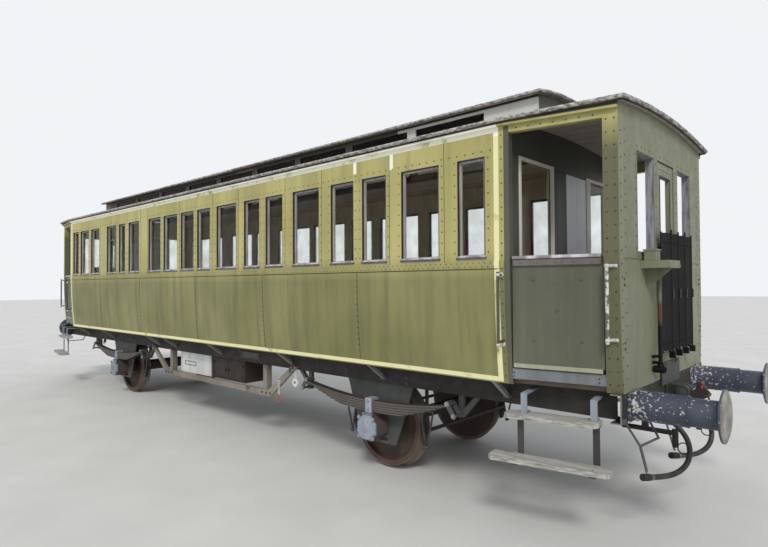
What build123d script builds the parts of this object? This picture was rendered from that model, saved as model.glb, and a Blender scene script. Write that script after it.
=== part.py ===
from build123d import *
import os
from math import atan2, cos, degrees, hypot, radians, sin, sqrt, tan

os.makedirs("parts", exist_ok=True)

# Two-axle passenger coach: X along the coach, Y across, Z up, in millimetres.
# The origin lies midway between the axles, where the flange tips stand.
# Names that start with end_ belong to the end walls, platform_ to the open end platforms.

# Heights, most of them above the rail top, which the flanges reach below
flange_depth = 28
side_bottom = flange_depth + 1157
waist = flange_depth + 2115
window_sill = flange_depth + 2210
window_head = flange_depth + 3070
floor_top = flange_depth + 1270
roof_crown = flange_depth + 3415
axle_height = flange_depth + 470
buffer_height = flange_depth + 1046

# Body plan
saloon_half_length = 5055
platform_length = 875
saloon_half_width = 1320
end_half_width = 1163
half_length = saloon_half_length + platform_length

# Body shell
turn_under = 58
wall = 65
end_wall = 70
bulkhead_wall = 50
post_depth = 90
roof_radius = 10400
roof_thick = 30
eave = 45
end_eave = 55
seat_gap = 0.3
door_gap = 8

# Running gear
axle_offset = 3275
tread_radius = axle_height - flange_depth
wheel_inner = 680
wheel_outer = 818
tyre_thick = 62
journal_centre = 1055
journal_radius = 55

# Small rods, pins and barrels are drawn with flats
rod_sides = 12
barrel_sides = 8

# The side leans in below the waist on one large arc
lean_drop = waist - side_bottom
lean_radius = (lean_drop**2 + turn_under**2) / (2 * turn_under)

# Platform sides taper from the saloon corner to the end wall
taper = atan2(saloon_half_width - end_half_width, platform_length)
platform_side_length = hypot(platform_length, saloon_half_width - end_half_width)
saloon_side = Plane(origin=(0, saloon_half_width, 0), x_dir=(0, 1, 0), z_dir=(1, 0, 0))
platform_side = Plane(
    origin=(saloon_half_length, saloon_half_width, 0),
    x_dir=(sin(taper), cos(taper), 0),
    z_dir=(cos(taper), -sin(taper), 0),
)


def lean(height, inset=0):
    """How far a face that is inset from the outer one has leaned in at a height."""
    radius = lean_radius - inset
    drop = max(waist - height, 0)
    return radius - sqrt(radius**2 - drop**2)


def roof_under(across):
    """Height of the roof's underside at a distance from the centre line."""
    return roof_crown - roof_radius + sqrt(roof_radius**2 - across**2)


def shell_section(plane, outer, inner, bottom, top, upright=False):
    """Sketch a strip of body side between two insets; upright keeps its inner face vertical."""
    knee = max(bottom, waist)
    outer_foot = (-outer - lean(bottom, outer), bottom)
    inner_foot = (-inner, bottom) if upright else (-inner - lean(bottom, inner), bottom)
    with BuildSketch(plane) as section:
        with BuildLine():
            Line(inner_foot, outer_foot)
            if bottom < waist:
                middle = (bottom + waist) / 2
                ThreePointArc(outer_foot, (-outer - lean(middle, outer), middle), (-outer, waist))
            Polyline((-outer, knee), (-outer, top), (-inner, top), (-inner, knee))
            if upright and bottom < waist:
                Line((-inner, waist), inner_foot)
            elif bottom < waist:
                middle = (bottom + waist) / 2
                ThreePointArc((-inner, waist), (-inner - lean(middle, inner), middle), inner_foot)
        make_face()
    return section.sketch


def block(x, y, z, mode=Mode.ADD):
    """A box between pairs of lowest and highest x, y and z."""
    centre = [(low + high) / 2 for low, high in (x, y, z)]
    with Locations(tuple(centre)):
        Box(x[1] - x[0], y[1] - y[0], z[1] - z[0], mode=mode)


def upright_rod(x, y, heights, radius, sides=rod_sides, mode=Mode.ADD):
    """A rod with flats that stands between two heights."""
    with BuildSketch(Plane.XY.offset(heights[0])) as flats:
        with Locations((x, y)):
            RegularPolygon(radius, sides)
    extrude(flats.sketch, amount=heights[1] - heights[0], mode=mode)


def across_rod(x, z, across, radius, sides=rod_sides, mode=Mode.ADD):
    """A rod with flats that lies across the coach between two y."""
    with BuildSketch(Plane.XZ.offset(-across[0])) as flats:
        with Locations((x, z)):
            RegularPolygon(radius, sides)
    extrude(flats.sketch, amount=across[0] - across[1], mode=mode)


def bore_for(pin, clearance, sides=rod_sides):
    """Radius to draw a bore with flats at, so that they clear a pin all round."""
    return (pin + clearance) / cos(radians(180 / sides))


def both_sides():
    """Repeat what is built so far on the other side of the coach."""
    mirror(about=Plane.XZ)


def both_ends():
    """Repeat what is built so far at the other end of the coach."""
    mirror(about=Plane.YZ)


def finish(piece, label):
    piece.part.label = label
    export_step(piece.part, f"parts/{label}.step")


# Space under the roof: every wall is cut to it, a seating gap below the roof boards
roof_cut_half_width = saloon_half_width + 180
with BuildPart() as under_roof:
    with BuildSketch(Plane.YZ):
        with BuildLine():
            reach = roof_cut_half_width
            edge = roof_under(reach) - seat_gap
            Polyline((-reach, edge), (-reach, 0), (reach, 0), (reach, edge))
            ThreePointArc((reach, edge), (0, roof_crown - seat_gap), (-reach, edge))
        make_face()
    extrude(amount=half_length + 200, both=True)

# Side windows: centre x and width of each
side_windows = [
    (-4740, 300),
    (-4270, 430),
    (-3735, 405),
    (-2973, 405),
    (-2515, 260),
    (-2040, 410),
    (-1276, 420),
    (-741, 440),
    (-220, 380),
    (244, 350),
    (831, 480),
    (1426, 340),
    (1897, 340),
    (2495, 465),
    (3100, 355),
    (3569, 335),
    (4162, 455),
    (4733, 285),
]

# Saloon side walls, each one steel-panelled frame with its windows cut
with BuildPart() as side_wall:
    extrude(shell_section(saloon_side, 0, wall, side_bottom, roof_crown), amount=saloon_half_length, both=True)
    add(under_roof.part, mode=Mode.INTERSECT)
    for centre_x, width in side_windows:
        block(
            (centre_x - width / 2, centre_x + width / 2),
            (saloon_half_width - 2 * wall, saloon_half_width + wall),
            (window_sill, window_head),
            mode=Mode.SUBTRACT,
        )
finish(side_wall, "side_wall_right")
with BuildPart() as side_wall_left:
    add(mirror(side_wall.part, about=Plane.XZ, mode=Mode.PRIVATE))
finish(side_wall_left, "side_wall_left")

# Window sashes: one wooden ring in each side window, and a pane seated behind it
sash_inset = 25
sash_depth = 20
sash_width = 28
pane_thick = 5
pane_edge = 10
window_height = window_head - window_sill
window_middle = (window_head + window_sill) / 2
sash_plane = Plane(origin=(0, saloon_half_width - sash_inset, 0), x_dir=(-1, 0, 0), z_dir=(0, 1, 0))
with BuildPart() as window_sashes:
    with BuildSketch(sash_plane):
        for centre_x, width in side_windows:
            with Locations((-centre_x, window_middle)):
                Rectangle(width - 2 * seat_gap, window_height - 2 * seat_gap)
                Rectangle(width - 2 * sash_width, window_height - 2 * sash_width, mode=Mode.SUBTRACT)
    extrude(amount=-sash_depth)
    both_sides()
finish(window_sashes, "window_sashes")

# Belt rail along the waist, and the eave rail under the edge of the roof
belt_height = 62
belt_proud = 8
eave_rail = 34
with BuildPart() as belt_rails:
    belt = shell_section(saloon_side, -belt_proud, 0, waist, waist + belt_height)
    extrude(belt, amount=saloon_half_length, both=True)
    both_sides()
finish(belt_rails, "belt_rails")
eave_rail_top = roof_under(saloon_half_width + eave_rail) - seat_gap
with BuildPart() as eave_rails:
    extrude(
        shell_section(saloon_side, -eave_rail, 0, eave_rail_top - eave_rail, eave_rail_top),
        amount=saloon_half_length,
        both=True,
    )
    rail = shell_section(platform_side, -eave_rail, 0, eave_rail_top - eave_rail, roof_crown)
    extrude(rail, amount=platform_side_length)
    both_ends()
    both_sides()
    add(under_roof.part, mode=Mode.INTERSECT)
finish(eave_rails, "eave_rails")

# Floor deck on the underframe, narrowed with the platforms
deck_half_width = saloon_half_width - wall - lean(side_bottom, wall) - seat_gap
deck_end_half_width = end_half_width - post_depth - seat_gap
deck_end = half_length - end_wall - seat_gap
with BuildPart() as floor_deck:
    with BuildSketch(Plane.XY.offset(side_bottom)):
        with BuildLine():
            corners = [(saloon_half_length, deck_half_width), (deck_end, deck_end_half_width)]
            outline = corners + [(x, -y) for x, y in reversed(corners)]
            outline += [(-x, -y) for x, y in corners] + [(-x, y) for x, y in reversed(corners)]
            Polyline(*outline, close=True)
        make_face()
    extrude(amount=floor_top - side_bottom)
finish(floor_deck, "floor_deck")

# End walls: sheeted, with a doorway and an unglazed window each side of it
doorway_half_width = 240
doorway_foot = floor_top + 10
end_window_inner = 337
end_window_outer = 768
end_window_sill = flange_depth + 2231
end_window_head = flange_depth + 3050
end_wall_half_width = end_half_width - post_depth / cos(taper) - seat_gap
with BuildPart() as end_walls:
    with BuildSketch(Plane.YZ.offset(half_length - end_wall)):
        with Locations((0, (side_bottom + roof_crown) / 2)):
            Rectangle(2 * end_wall_half_width, roof_crown - side_bottom)
        with Locations((0, (doorway_foot + end_window_head) / 2)):
            Rectangle(2 * doorway_half_width, end_window_head - doorway_foot, mode=Mode.SUBTRACT)
        for side in (-1, 1):
            with Locations((side * (end_window_inner + end_window_outer) / 2, (end_window_sill + end_window_head) / 2)):
                Rectangle(
                    end_window_outer - end_window_inner,
                    end_window_head - end_window_sill,
                    mode=Mode.SUBTRACT,
                )
    extrude(amount=end_wall)
    add(under_roof.part, mode=Mode.INTERSECT)
    both_ends()
finish(end_walls, "end_walls")

# Bulkheads between saloon and platform, with a doorway between two windows
bulkhead_door_half_width = 340
bulkhead_window_inner = 430
bulkhead_window_outer = saloon_half_width - 270
bulkhead_face = saloon_half_length - bulkhead_wall
with BuildPart() as bulkheads:
    half = shell_section(
        saloon_side.offset(bulkhead_face),
        wall + seat_gap,
        saloon_half_width,
        floor_top + seat_gap,
        roof_crown,
        upright=True,
    )
    extrude(half, amount=bulkhead_wall)
    both_sides()
    add(under_roof.part, mode=Mode.INTERSECT)
    block(
        (bulkhead_face - wall, saloon_half_length + wall),
        (-bulkhead_door_half_width, bulkhead_door_half_width),
        (floor_top - wall, window_head),
        mode=Mode.SUBTRACT,
    )
    for side in (-1, 1):
        span = sorted((side * bulkhead_window_inner, side * bulkhead_window_outer))
        block((bulkhead_face - wall, saloon_half_length + wall), span, (window_sill, window_head), mode=Mode.SUBTRACT)
    both_ends()
finish(bulkheads, "bulkheads")

# Platform posts: a door post at the saloon corner and a corner post at the end wall
door_post = 45
corner_post_from = 777
with BuildPart() as platform_posts:
    post = shell_section(platform_side, 0, post_depth, side_bottom, roof_crown, upright=True)
    extrude(post, amount=platform_side_length + post_depth)
    with BuildSketch(platform_side.offset(door_post)):
        with Locations((-post_depth / 2, roof_crown / 2)):
            Rectangle(4 * post_depth, 2 * roof_crown)
    extrude(amount=corner_post_from - door_post, mode=Mode.SUBTRACT)
    block((saloon_half_length, half_length), (0, 2 * saloon_half_width), (0, 2 * roof_crown), mode=Mode.INTERSECT)
    add(under_roof.part, mode=Mode.INTERSECT)
    both_sides()
    both_ends()
finish(platform_posts, "platform_posts")

# Headers over the platform openings and edge beams under the half doors
header_bottom = flange_depth + 3236
beam_top = flange_depth + 1290
beam_bottom = flange_depth + 1205
with BuildPart() as platform_rails:
    header = shell_section(platform_side.offset(door_post), 0, wall, header_bottom, roof_crown)
    extrude(header, amount=corner_post_from - door_post)
    beam_outer = lean(beam_bottom)
    with BuildSketch(platform_side.offset(door_post)):
        with Locations((-(beam_outer + post_depth) / 2, (beam_bottom + beam_top) / 2)):
            Rectangle(post_depth - beam_outer, beam_top - beam_bottom)
    extrude(amount=corner_post_from - door_post)
    add(under_roof.part, mode=Mode.INTERSECT)
    both_sides()
    both_ends()
finish(platform_rails, "platform_rails")

# Main roof: arched boards over the whole coach, open between the clerestory sides
clerestory_inner = 600
clerestory_board = 35
clerestory_half_length = saloon_half_length - 40
clerestory_eave_half_width = 700
clerestory_eave = 55
clerestory_eave_height = roof_crown + 350
clerestory_crown = roof_crown + 422
roof_end = half_length + end_eave
roof_opening = clerestory_half_length - clerestory_board
with BuildPart() as main_roof:
    with BuildSketch(Plane.YZ):
        with BuildLine():
            reach = roof_cut_half_width
            edge = roof_under(reach)
            ThreePointArc((-reach, edge), (0, roof_crown), (reach, edge))
            Line((reach, edge), (reach, edge + roof_thick))
            ThreePointArc((reach, edge + roof_thick), (0, roof_crown + roof_thick), (-reach, edge + roof_thick))
            Line((-reach, edge + roof_thick), (-reach, edge))
        make_face()
    extrude(amount=roof_end, both=True)
    with BuildSketch():
        with BuildLine():
            corners = [(saloon_half_length, saloon_half_width + eave), (roof_end, end_half_width + eave)]
            outline = corners + [(x, -y) for x, y in reversed(corners)]
            outline += [(-x, -y) for x, y in corners] + [(-x, y) for x, y in reversed(corners)]
            Polyline(*outline, close=True)
        make_face()
        Rectangle(2 * roof_opening, 2 * clerestory_inner, mode=Mode.SUBTRACT)
    extrude(amount=2 * roof_crown, mode=Mode.INTERSECT)
finish(main_roof, "main_roof")

# Clerestory: four upright boards with slots for its lights, under a low arched roof
clerestory_foot = roof_under(clerestory_inner) + roof_thick + seat_gap
clerestory_radius = (
    clerestory_eave_half_width**2 + (clerestory_crown - clerestory_eave_height) ** 2
) / (2 * (clerestory_crown - clerestory_eave_height))
clerestory_outer = clerestory_inner + clerestory_board
clerestory_roof_thick = 35


def clerestory_top(across, depth=0):
    """Height of the clerestory roof's upper face, or of a face below it."""
    return clerestory_crown - clerestory_radius + sqrt((clerestory_radius - depth) ** 2 - across**2)


light_bottom = clerestory_foot + 70
light_top = clerestory_eave_height - 75
light_length = 880
light_pitch = 1000
light_count = 9
clerestory_plane = Plane(origin=(0, clerestory_inner, 0), x_dir=(-1, 0, 0), z_dir=(0, 1, 0))
with BuildPart() as clerestory_sides:
    board_top = clerestory_top(clerestory_outer, clerestory_roof_thick) - seat_gap
    with BuildSketch(clerestory_plane):
        with Locations((0, (clerestory_foot + board_top) / 2)):
            Rectangle(2 * clerestory_half_length, board_top - clerestory_foot)
        with Locations((0, (light_bottom + light_top) / 2)):
            with GridLocations(light_pitch, 1, light_count, 1):
                Rectangle(light_length, light_top - light_bottom, mode=Mode.SUBTRACT)
    extrude(amount=clerestory_board)
    both_sides()
with BuildPart() as clerestory_ends:
    end_foot = roof_crown + roof_thick + seat_gap
    with BuildSketch(Plane.YZ.offset(roof_opening)):
        with BuildLine():
            half_width = clerestory_inner - seat_gap
            eave_top = clerestory_top(half_width, clerestory_roof_thick) - seat_gap
            crown_top = clerestory_top(0, clerestory_roof_thick) - seat_gap
            Polyline((-half_width, eave_top), (-half_width, end_foot), (half_width, end_foot), (half_width, eave_top))
            ThreePointArc((half_width, eave_top), (0, crown_top), (-half_width, eave_top))
        make_face()
    extrude(amount=clerestory_board)
    both_ends()
with BuildPart() as clerestory_walls:
    add(clerestory_sides.part)
    add(clerestory_ends.part)
finish(clerestory_walls, "clerestory_walls")
with BuildPart() as clerestory_roof:
    with BuildSketch(Plane.YZ):
        with BuildLine():
            half_width = clerestory_eave_half_width
            top = clerestory_top(half_width)
            under = clerestory_top(half_width, clerestory_roof_thick)
            ThreePointArc((-half_width, top), (0, clerestory_crown), (half_width, top))
            Line((half_width, top), (half_width, under))
            under_crown = clerestory_crown - clerestory_roof_thick
            ThreePointArc((half_width, under), (0, under_crown), (-half_width, under))
            Line((-half_width, under), (-half_width, top))
        make_face()
    extrude(amount=clerestory_half_length + clerestory_eave, both=True)
finish(clerestory_roof, "clerestory_roof")

# Panes: side windows behind their sashes, bulkhead windows, and the clerestory lights
with BuildPart() as window_glass:
    pane_face = saloon_half_width - sash_inset - sash_depth
    for centre_x, width in side_windows:
        block(
            (centre_x - width / 2 + pane_edge, centre_x + width / 2 - pane_edge),
            (pane_face - pane_thick, pane_face),
            (window_sill + pane_edge, window_head - pane_edge),
        )
    both_sides()
    bulkhead_pane_face = bulkhead_face + bulkhead_wall / 2
    for side in (-1, 1):
        span = sorted((side * (bulkhead_window_inner + seat_gap), side * (bulkhead_window_outer - seat_gap)))
        for pane_x in (bulkhead_pane_face, -bulkhead_pane_face - pane_thick):
            block((pane_x, pane_x + pane_thick), span, (window_sill + seat_gap, window_head - seat_gap))
    light_face = clerestory_inner + (clerestory_board - pane_thick) / 2
    for side in (-1, 1):
        span = sorted((side * light_face, side * (light_face + pane_thick)))
        for light in range(light_count):
            middle = (light - (light_count - 1) / 2) * light_pitch
            block(
                (middle - light_length / 2 + seat_gap, middle + light_length / 2 - seat_gap),
                span,
                (light_bottom + seat_gap, light_top - seat_gap),
            )
finish(window_glass, "window_glass")

# Hinges: a lug with an upright pin on the frame, and a knuckle and leaf on the door.
# Each is drawn at its axis, the door along +X and its thickness along +Y.
barrel_radius = 8
pin_radius = 4.5
pin_clearance = 0.3
knuckle_height = 50
hinge_reach = 9
leaf_length = 60
hinge_to_door = 10
leaf_thick = 6
door_edge = 1
door_thick = 36


def lugs_and_pins(heights):
    """Lugs and pins of one door, in the door's own axes."""
    for height in heights:
        lug = (height - knuckle_height - 1, height - 1)
        upright_rod(0, 0, lug, barrel_radius, barrel_sides)
        block((-hinge_reach, 0), (-barrel_radius / 2, barrel_radius / 2), lug)
        upright_rod(0, 0, (lug[1], height + knuckle_height - 1), pin_radius, barrel_sides)


def hinged_door(width, bottom, top, thick, heights, window=None):
    """A flat door panel with knuckles, swinging away from +Y about its own Z axis."""
    with Locations((door_edge, hinge_to_door, bottom)):
        Box(width, thick, top - bottom, align=(Align.MIN, Align.MIN, Align.MIN))
    if window:
        stile, sill, head = window
        with Locations((door_edge + stile, hinge_to_door, sill)):
            Box(
                width - 2 * stile,
                thick,
                head - sill,
                align=(Align.MIN, Align.MIN, Align.MIN),
                mode=Mode.SUBTRACT,
            )
    bore = bore_for(pin_radius, pin_clearance, barrel_sides)
    for height in heights:
        knuckle = (height, height + knuckle_height)
        upright_rod(0, 0, knuckle, barrel_radius, barrel_sides)
        block((0, leaf_length), (hinge_to_door - leaf_thick, hinge_to_door), knuckle)
        upright_rod(0, 0, knuckle, bore, barrel_sides, mode=Mode.SUBTRACT)


# Half doors of the platforms, hung on the saloon corner posts and swinging inwards
half_door_inset = 38
half_door_bottom = flange_depth + 1330
half_door_top = flange_depth + 2190
half_door_width = corner_post_from - door_post - hinge_reach - door_edge - door_gap
half_door_hinges = (half_door_bottom + 120, half_door_top - 200)
half_door_axis = -half_door_inset - door_thick - hinge_to_door
half_door_place = Plane(
    origin=platform_side.from_local_coords((half_door_axis, 0, door_post + hinge_reach)),
    x_dir=platform_side.z_dir,
    z_dir=(0, 0, 1),
)
with BuildPart() as half_door_near_right:
    hinged_door(half_door_width, half_door_bottom, half_door_top, door_thick, half_door_hinges)
    half_door_near_right.part = half_door_near_right.part.moved(half_door_place.location)
with BuildPart() as half_door_near_left:
    add(mirror(half_door_near_right.part, about=Plane.XZ, mode=Mode.PRIVATE))
with BuildPart() as half_door_far_right:
    add(mirror(half_door_near_right.part, about=Plane.YZ, mode=Mode.PRIVATE))
with BuildPart() as half_door_far_left:
    add(mirror(half_door_near_left.part, about=Plane.YZ, mode=Mode.PRIVATE))
finish(half_door_near_right, "half_door_near_right")
finish(half_door_near_left, "half_door_near_left")
finish(half_door_far_right, "half_door_far_right")
finish(half_door_far_left, "half_door_far_left")

# Centre doors of the end walls, flush with the sheeting and swinging onto the platforms
end_door_bottom = doorway_foot + door_gap
end_door_top = end_window_head - door_gap
end_door_width = 2 * doorway_half_width - hinge_reach - door_edge - door_gap
end_door_window = (90, flange_depth + 2231, flange_depth + 2920)
end_door_hinges = (end_door_bottom + 150, end_door_top - 250)
end_door_recess = 12
end_door_face = half_length - end_door_recess
end_door_place = Plane(
    origin=(end_door_face - door_thick - hinge_to_door, doorway_half_width - hinge_reach, 0),
    x_dir=(0, -1, 0),
    z_dir=(0, 0, 1),
)
with BuildPart() as end_door_near:
    hinged_door(end_door_width, end_door_bottom, end_door_top, door_thick, end_door_hinges, end_door_window)
    end_door_near.part = end_door_near.part.moved(end_door_place.location)
with BuildPart() as end_door_far:
    add(end_door_near.part.rotate(Axis.Z, 180))
finish(end_door_near, "end_door_near")
finish(end_door_far, "end_door_far")

# Bulkhead doors, swinging into the saloon
bulkhead_door_bottom = floor_top + door_gap
bulkhead_door_top = window_head - door_gap
bulkhead_door_width = 2 * bulkhead_door_half_width - hinge_reach - door_edge - door_gap
bulkhead_door_window = (110, window_sill, window_head - 130)
bulkhead_door_hinges = (bulkhead_door_bottom + 150, bulkhead_door_top - 250)
bulkhead_door_place = Plane(
    origin=(saloon_half_length - door_thick - hinge_to_door, bulkhead_door_half_width - hinge_reach, 0),
    x_dir=(0, -1, 0),
    z_dir=(0, 0, 1),
)
with BuildPart() as bulkhead_door_near:
    hinged_door(
        bulkhead_door_width,
        bulkhead_door_bottom,
        bulkhead_door_top,
        door_thick,
        bulkhead_door_hinges,
        bulkhead_door_window,
    )
    bulkhead_door_near.part = bulkhead_door_near.part.moved(bulkhead_door_place.location)
with BuildPart() as bulkhead_door_far:
    add(bulkhead_door_near.part.rotate(Axis.Z, 180))
finish(bulkhead_door_near, "bulkhead_door_near")
finish(bulkhead_door_far, "bulkhead_door_far")

# The lugs and pins that carry the doors, kept with those of the fall plates further on
with BuildPart() as half_door_lugs:
    lugs_and_pins(half_door_hinges)
    half_door_lugs.part = half_door_lugs.part.moved(half_door_place.location)
    both_sides()
    both_ends()
with BuildPart() as end_door_lugs:
    lugs_and_pins(end_door_hinges)
    end_door_lugs.part = end_door_lugs.part.moved(end_door_place.location)
with BuildPart() as bulkhead_door_lugs:
    lugs_and_pins(bulkhead_door_hinges)
    bulkhead_door_lugs.part = bulkhead_door_lugs.part.moved(bulkhead_door_place.location)

# Sole bars and headstocks: steel channels that carry the deck
channel_thick = 10
channel_bottom = flange_depth + 934
sole_bar_outer = 1000
sole_bar_flange = 90
headstock_face = half_length - 5
headstock_flange = 85
headstock_half_width = 1150
sole_bar_inner = sole_bar_outer - sole_bar_flange
headstock_back = headstock_face - headstock_flange
sole_bar_half_length = headstock_back - seat_gap
channel_height = side_bottom - channel_bottom
channel_middle = (side_bottom + channel_bottom) / 2


def channel_section(plane, outer, flange):
    """A channel lying on its web: the web outside, both flanges pointing in."""
    with BuildSketch(plane) as section:
        with Locations((outer - flange / 2, channel_middle)):
            Rectangle(flange, channel_height)
        with Locations((outer - channel_thick - flange / 2, channel_middle)):
            Rectangle(flange, channel_height - 2 * channel_thick, mode=Mode.SUBTRACT)
    return section.sketch


with BuildPart() as sole_bars:
    extrude(channel_section(Plane.YZ, sole_bar_outer, sole_bar_flange), amount=sole_bar_half_length, both=True)
    both_sides()
finish(sole_bars, "sole_bars")
with BuildPart() as headstocks:
    extrude(channel_section(Plane.XZ, headstock_face, headstock_flange), amount=headstock_half_width, both=True)
    both_ends()
finish(headstocks, "headstocks")

# Cross members between the webs of the sole bars
cross_member_width = 80
brake_offset = tread_radius + 90
cross_members_at = (0, 1400, axle_offset - brake_offset, axle_offset + brake_offset, 5000)
cross_member_bottom = channel_bottom + channel_thick + seat_gap
with BuildPart() as cross_members:
    for x in cross_members_at:
        block(
            (x - cross_member_width / 2, x + cross_member_width / 2),
            (-sole_bar_outer + channel_thick + seat_gap, sole_bar_outer - channel_thick - seat_gap),
            (cross_member_bottom, side_bottom - channel_thick - seat_gap),
        )
    both_ends()
finish(cross_members, "cross_members")

# Sloping brackets from the sole bars out to the foot of the body sides
bracket_width = 40
bracket_rise = 45
brackets_at = (-4870, -3600, -1750, -1150, 200, 1850, 3400, 4890)
bracket_tip = saloon_half_width - turn_under - 15
with BuildPart() as body_brackets:
    with BuildSketch(Plane.YZ):
        foot = side_bottom - seat_gap
        root = sole_bar_outer + seat_gap
        Polygon(
            (root, foot - 4 * bracket_rise),
            (bracket_tip, foot),
            (bracket_tip - bracket_rise, foot),
            (root, foot - 3 * bracket_rise),
            align=None,
        )
    extrude(amount=bracket_width / 2, both=True)
    one_bracket = body_brackets.part
    body_brackets.part = None
    for x in brackets_at:
        add(one_bracket.moved(Location((x, 0, 0))))
    both_sides()
finish(body_brackets, "body_brackets")

# Truss frames bolted to the faces of the sole bars, with hollow posts behind their feet
truss_depth = 75
truss_thick = 40
truss_top = channel_bottom + 40
truss_bottom = flange_depth + 540
truss_foot = 1430
truss_shoulder = 1975
truss_shoulder_inset = 105
truss_foot_inset = 45
truss_post = (1250, 1330)
truss_post_depth = 60
with BuildPart() as truss_frames:
    with BuildSketch(Plane.XZ.offset(-sole_bar_outer - seat_gap)):
        Polygon(
            (-truss_shoulder, truss_top),
            (-truss_foot, truss_bottom),
            (truss_foot, truss_bottom),
            (truss_shoulder, truss_top),
            align=None,
        )
        inner_shoulder = truss_shoulder - truss_shoulder_inset
        inner_foot = truss_foot - truss_foot_inset
        Polygon(
            (-inner_shoulder, truss_top),
            (-inner_foot, truss_bottom + truss_depth),
            (inner_foot, truss_bottom + truss_depth),
            (inner_shoulder, truss_top),
            align=None,
            mode=Mode.SUBTRACT,
        )
    extrude(amount=-truss_thick)
    post_back = sole_bar_outer - truss_post_depth
    for span in (truss_post, (-truss_post[1], -truss_post[0])):
        block(span, (post_back, sole_bar_outer + truss_thick / 2), (truss_bottom, channel_bottom - seat_gap))
        block(
            (span[0] + channel_thick, span[1] - channel_thick),
            (post_back, sole_bar_outer - channel_thick),
            (truss_bottom + truss_depth, channel_bottom - channel_thick),
            mode=Mode.SUBTRACT,
        )
    both_sides()
finish(truss_frames, "truss_frames")

# Battery box and equipment box hung under the sole bar on one side, air reservoir opposite
box_top = channel_bottom - seat_gap
box_bottom = flange_depth + 625
box_depth = 430
battery_box_face = -sole_bar_outer + 5
battery_box_span = (-1017, -107)
equipment_box_face = -sole_bar_outer + 15
equipment_box_span = (-97, 776)
with BuildPart() as battery_box:
    block(battery_box_span, (battery_box_face, battery_box_face + box_depth), (box_bottom, box_top))
finish(battery_box, "battery_box")
with BuildPart() as equipment_box:
    block(equipment_box_span, (equipment_box_face, equipment_box_face + box_depth), (box_bottom, box_top))
finish(equipment_box, "equipment_box")
reservoir_radius = 165
reservoir_half_length = 820
reservoir_across = 620
reservoir_drop = 40
reservoir_round = 60
saddle_half_width = 30
saddle_half_depth = 60
reservoir_height = cross_member_bottom - reservoir_radius - reservoir_drop
reservoir_saddles = cross_members_at[:2]
with BuildPart() as air_reservoir:
    with Locations(Location((sum(reservoir_saddles) / 2, reservoir_across, reservoir_height), (0, 90, 0))):
        Cylinder(reservoir_radius, 2 * reservoir_half_length)
    chamfer(air_reservoir.edges().filter_by(GeomType.CIRCLE), length=reservoir_round)
    for x in reservoir_saddles:
        block(
            (x - saddle_half_width, x + saddle_half_width),
            (reservoir_across - saddle_half_depth, reservoir_across + saddle_half_depth),
            (reservoir_height, cross_member_bottom - seat_gap),
        )
finish(air_reservoir, "air_reservoir")

# Wheels and axles, revolved about the axle line
flange_radius = axle_height
flange_width = 28
hub_radius = 110
hub_outer = 835
axle_radius = 70
web_outer = 760
journal_from = 880
journal_to = 1120
with BuildPart() as wheel:
    with BuildSketch(Plane.YZ):
        with BuildLine():
            Polyline(
                (wheel_inner, axle_radius + seat_gap),
                (wheel_inner, flange_radius),
                (wheel_inner + flange_width, tread_radius + 2),
                (wheel_outer, tread_radius - 4),
                (wheel_outer, tread_radius - tyre_thick),
                (web_outer, tread_radius - tyre_thick),
                (web_outer, hub_radius),
                (hub_outer, hub_radius),
                (hub_outer, axle_radius + seat_gap),
                close=True,
            )
        make_face()
    revolve(axis=Axis.Y)
    both_sides()
with BuildPart() as axle:
    with BuildSketch(Plane.YZ):
        with BuildLine():
            Polyline(
                (0, 0),
                (0, axle_radius),
                (journal_from - 12, axle_radius),
                (journal_from - 12, journal_radius),
                (journal_to, journal_radius),
                (journal_to, 0),
                close=True,
            )
        make_face()
    revolve(axis=Axis.Y)
    both_sides()
for end, x in (("near", axle_offset), ("far", -axle_offset)):
    with BuildPart() as wheels_here:
        add(wheel.part.moved(Location((x, 0, axle_height))))
    finish(wheels_here, f"wheels_{end}")
    with BuildPart() as axle_here:
        add(axle.part.moved(Location((x, 0, axle_height))))
    finish(axle_here, f"axle_{end}")

# Axleboxes with eight-sided covers, and the horn guide plates that hold them
axlebox_radius = 150
axlebox_from = 945
axlebox_to = 1130
cover_thick = 27
neck_half_width = 125
horn_inner = 924
horn_outer = 942
journal_clearance = 0.5
spring_seat = axle_height + axlebox_radius + 4
with BuildPart() as axleboxes:
    with BuildSketch(Plane.XZ.offset(-axlebox_from)):
        RegularPolygon(axlebox_radius, barrel_sides, rotation=180 / barrel_sides)
        with Locations((0, axlebox_radius / 2 + 2)):
            Rectangle(axlebox_radius, axlebox_radius + 4)
    extrude(amount=-(axlebox_to - axlebox_from))
    with BuildSketch(Plane.XZ.offset(-journal_from)):
        Rectangle(2 * neck_half_width, 2 * neck_half_width)
    extrude(amount=-(axlebox_from - journal_from))
    with BuildSketch(Plane.XZ.offset(-axlebox_to)):
        RegularPolygon(axlebox_radius - 12, barrel_sides, rotation=180 / barrel_sides)
    extrude(amount=-cover_thick, taper=20)
    with BuildSketch(Plane.XZ.offset(-journal_from)):
        Circle(journal_radius + journal_clearance)
    extrude(amount=-(journal_to + 5 - journal_from), mode=Mode.SUBTRACT)
    both_sides()
    one_pair = axleboxes.part
    axleboxes.part = None
    for x in (-axle_offset, axle_offset):
        add(one_pair.moved(Location((x, 0, axle_height))))
finish(axleboxes, "axleboxes")
horn_bottom = axle_height - 190
horn_foot_half_width = 240
horn_knee_half_width = 370
horn_knee = channel_bottom - 320
horn_top_half_width = 480
horn_tie = 28
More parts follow.
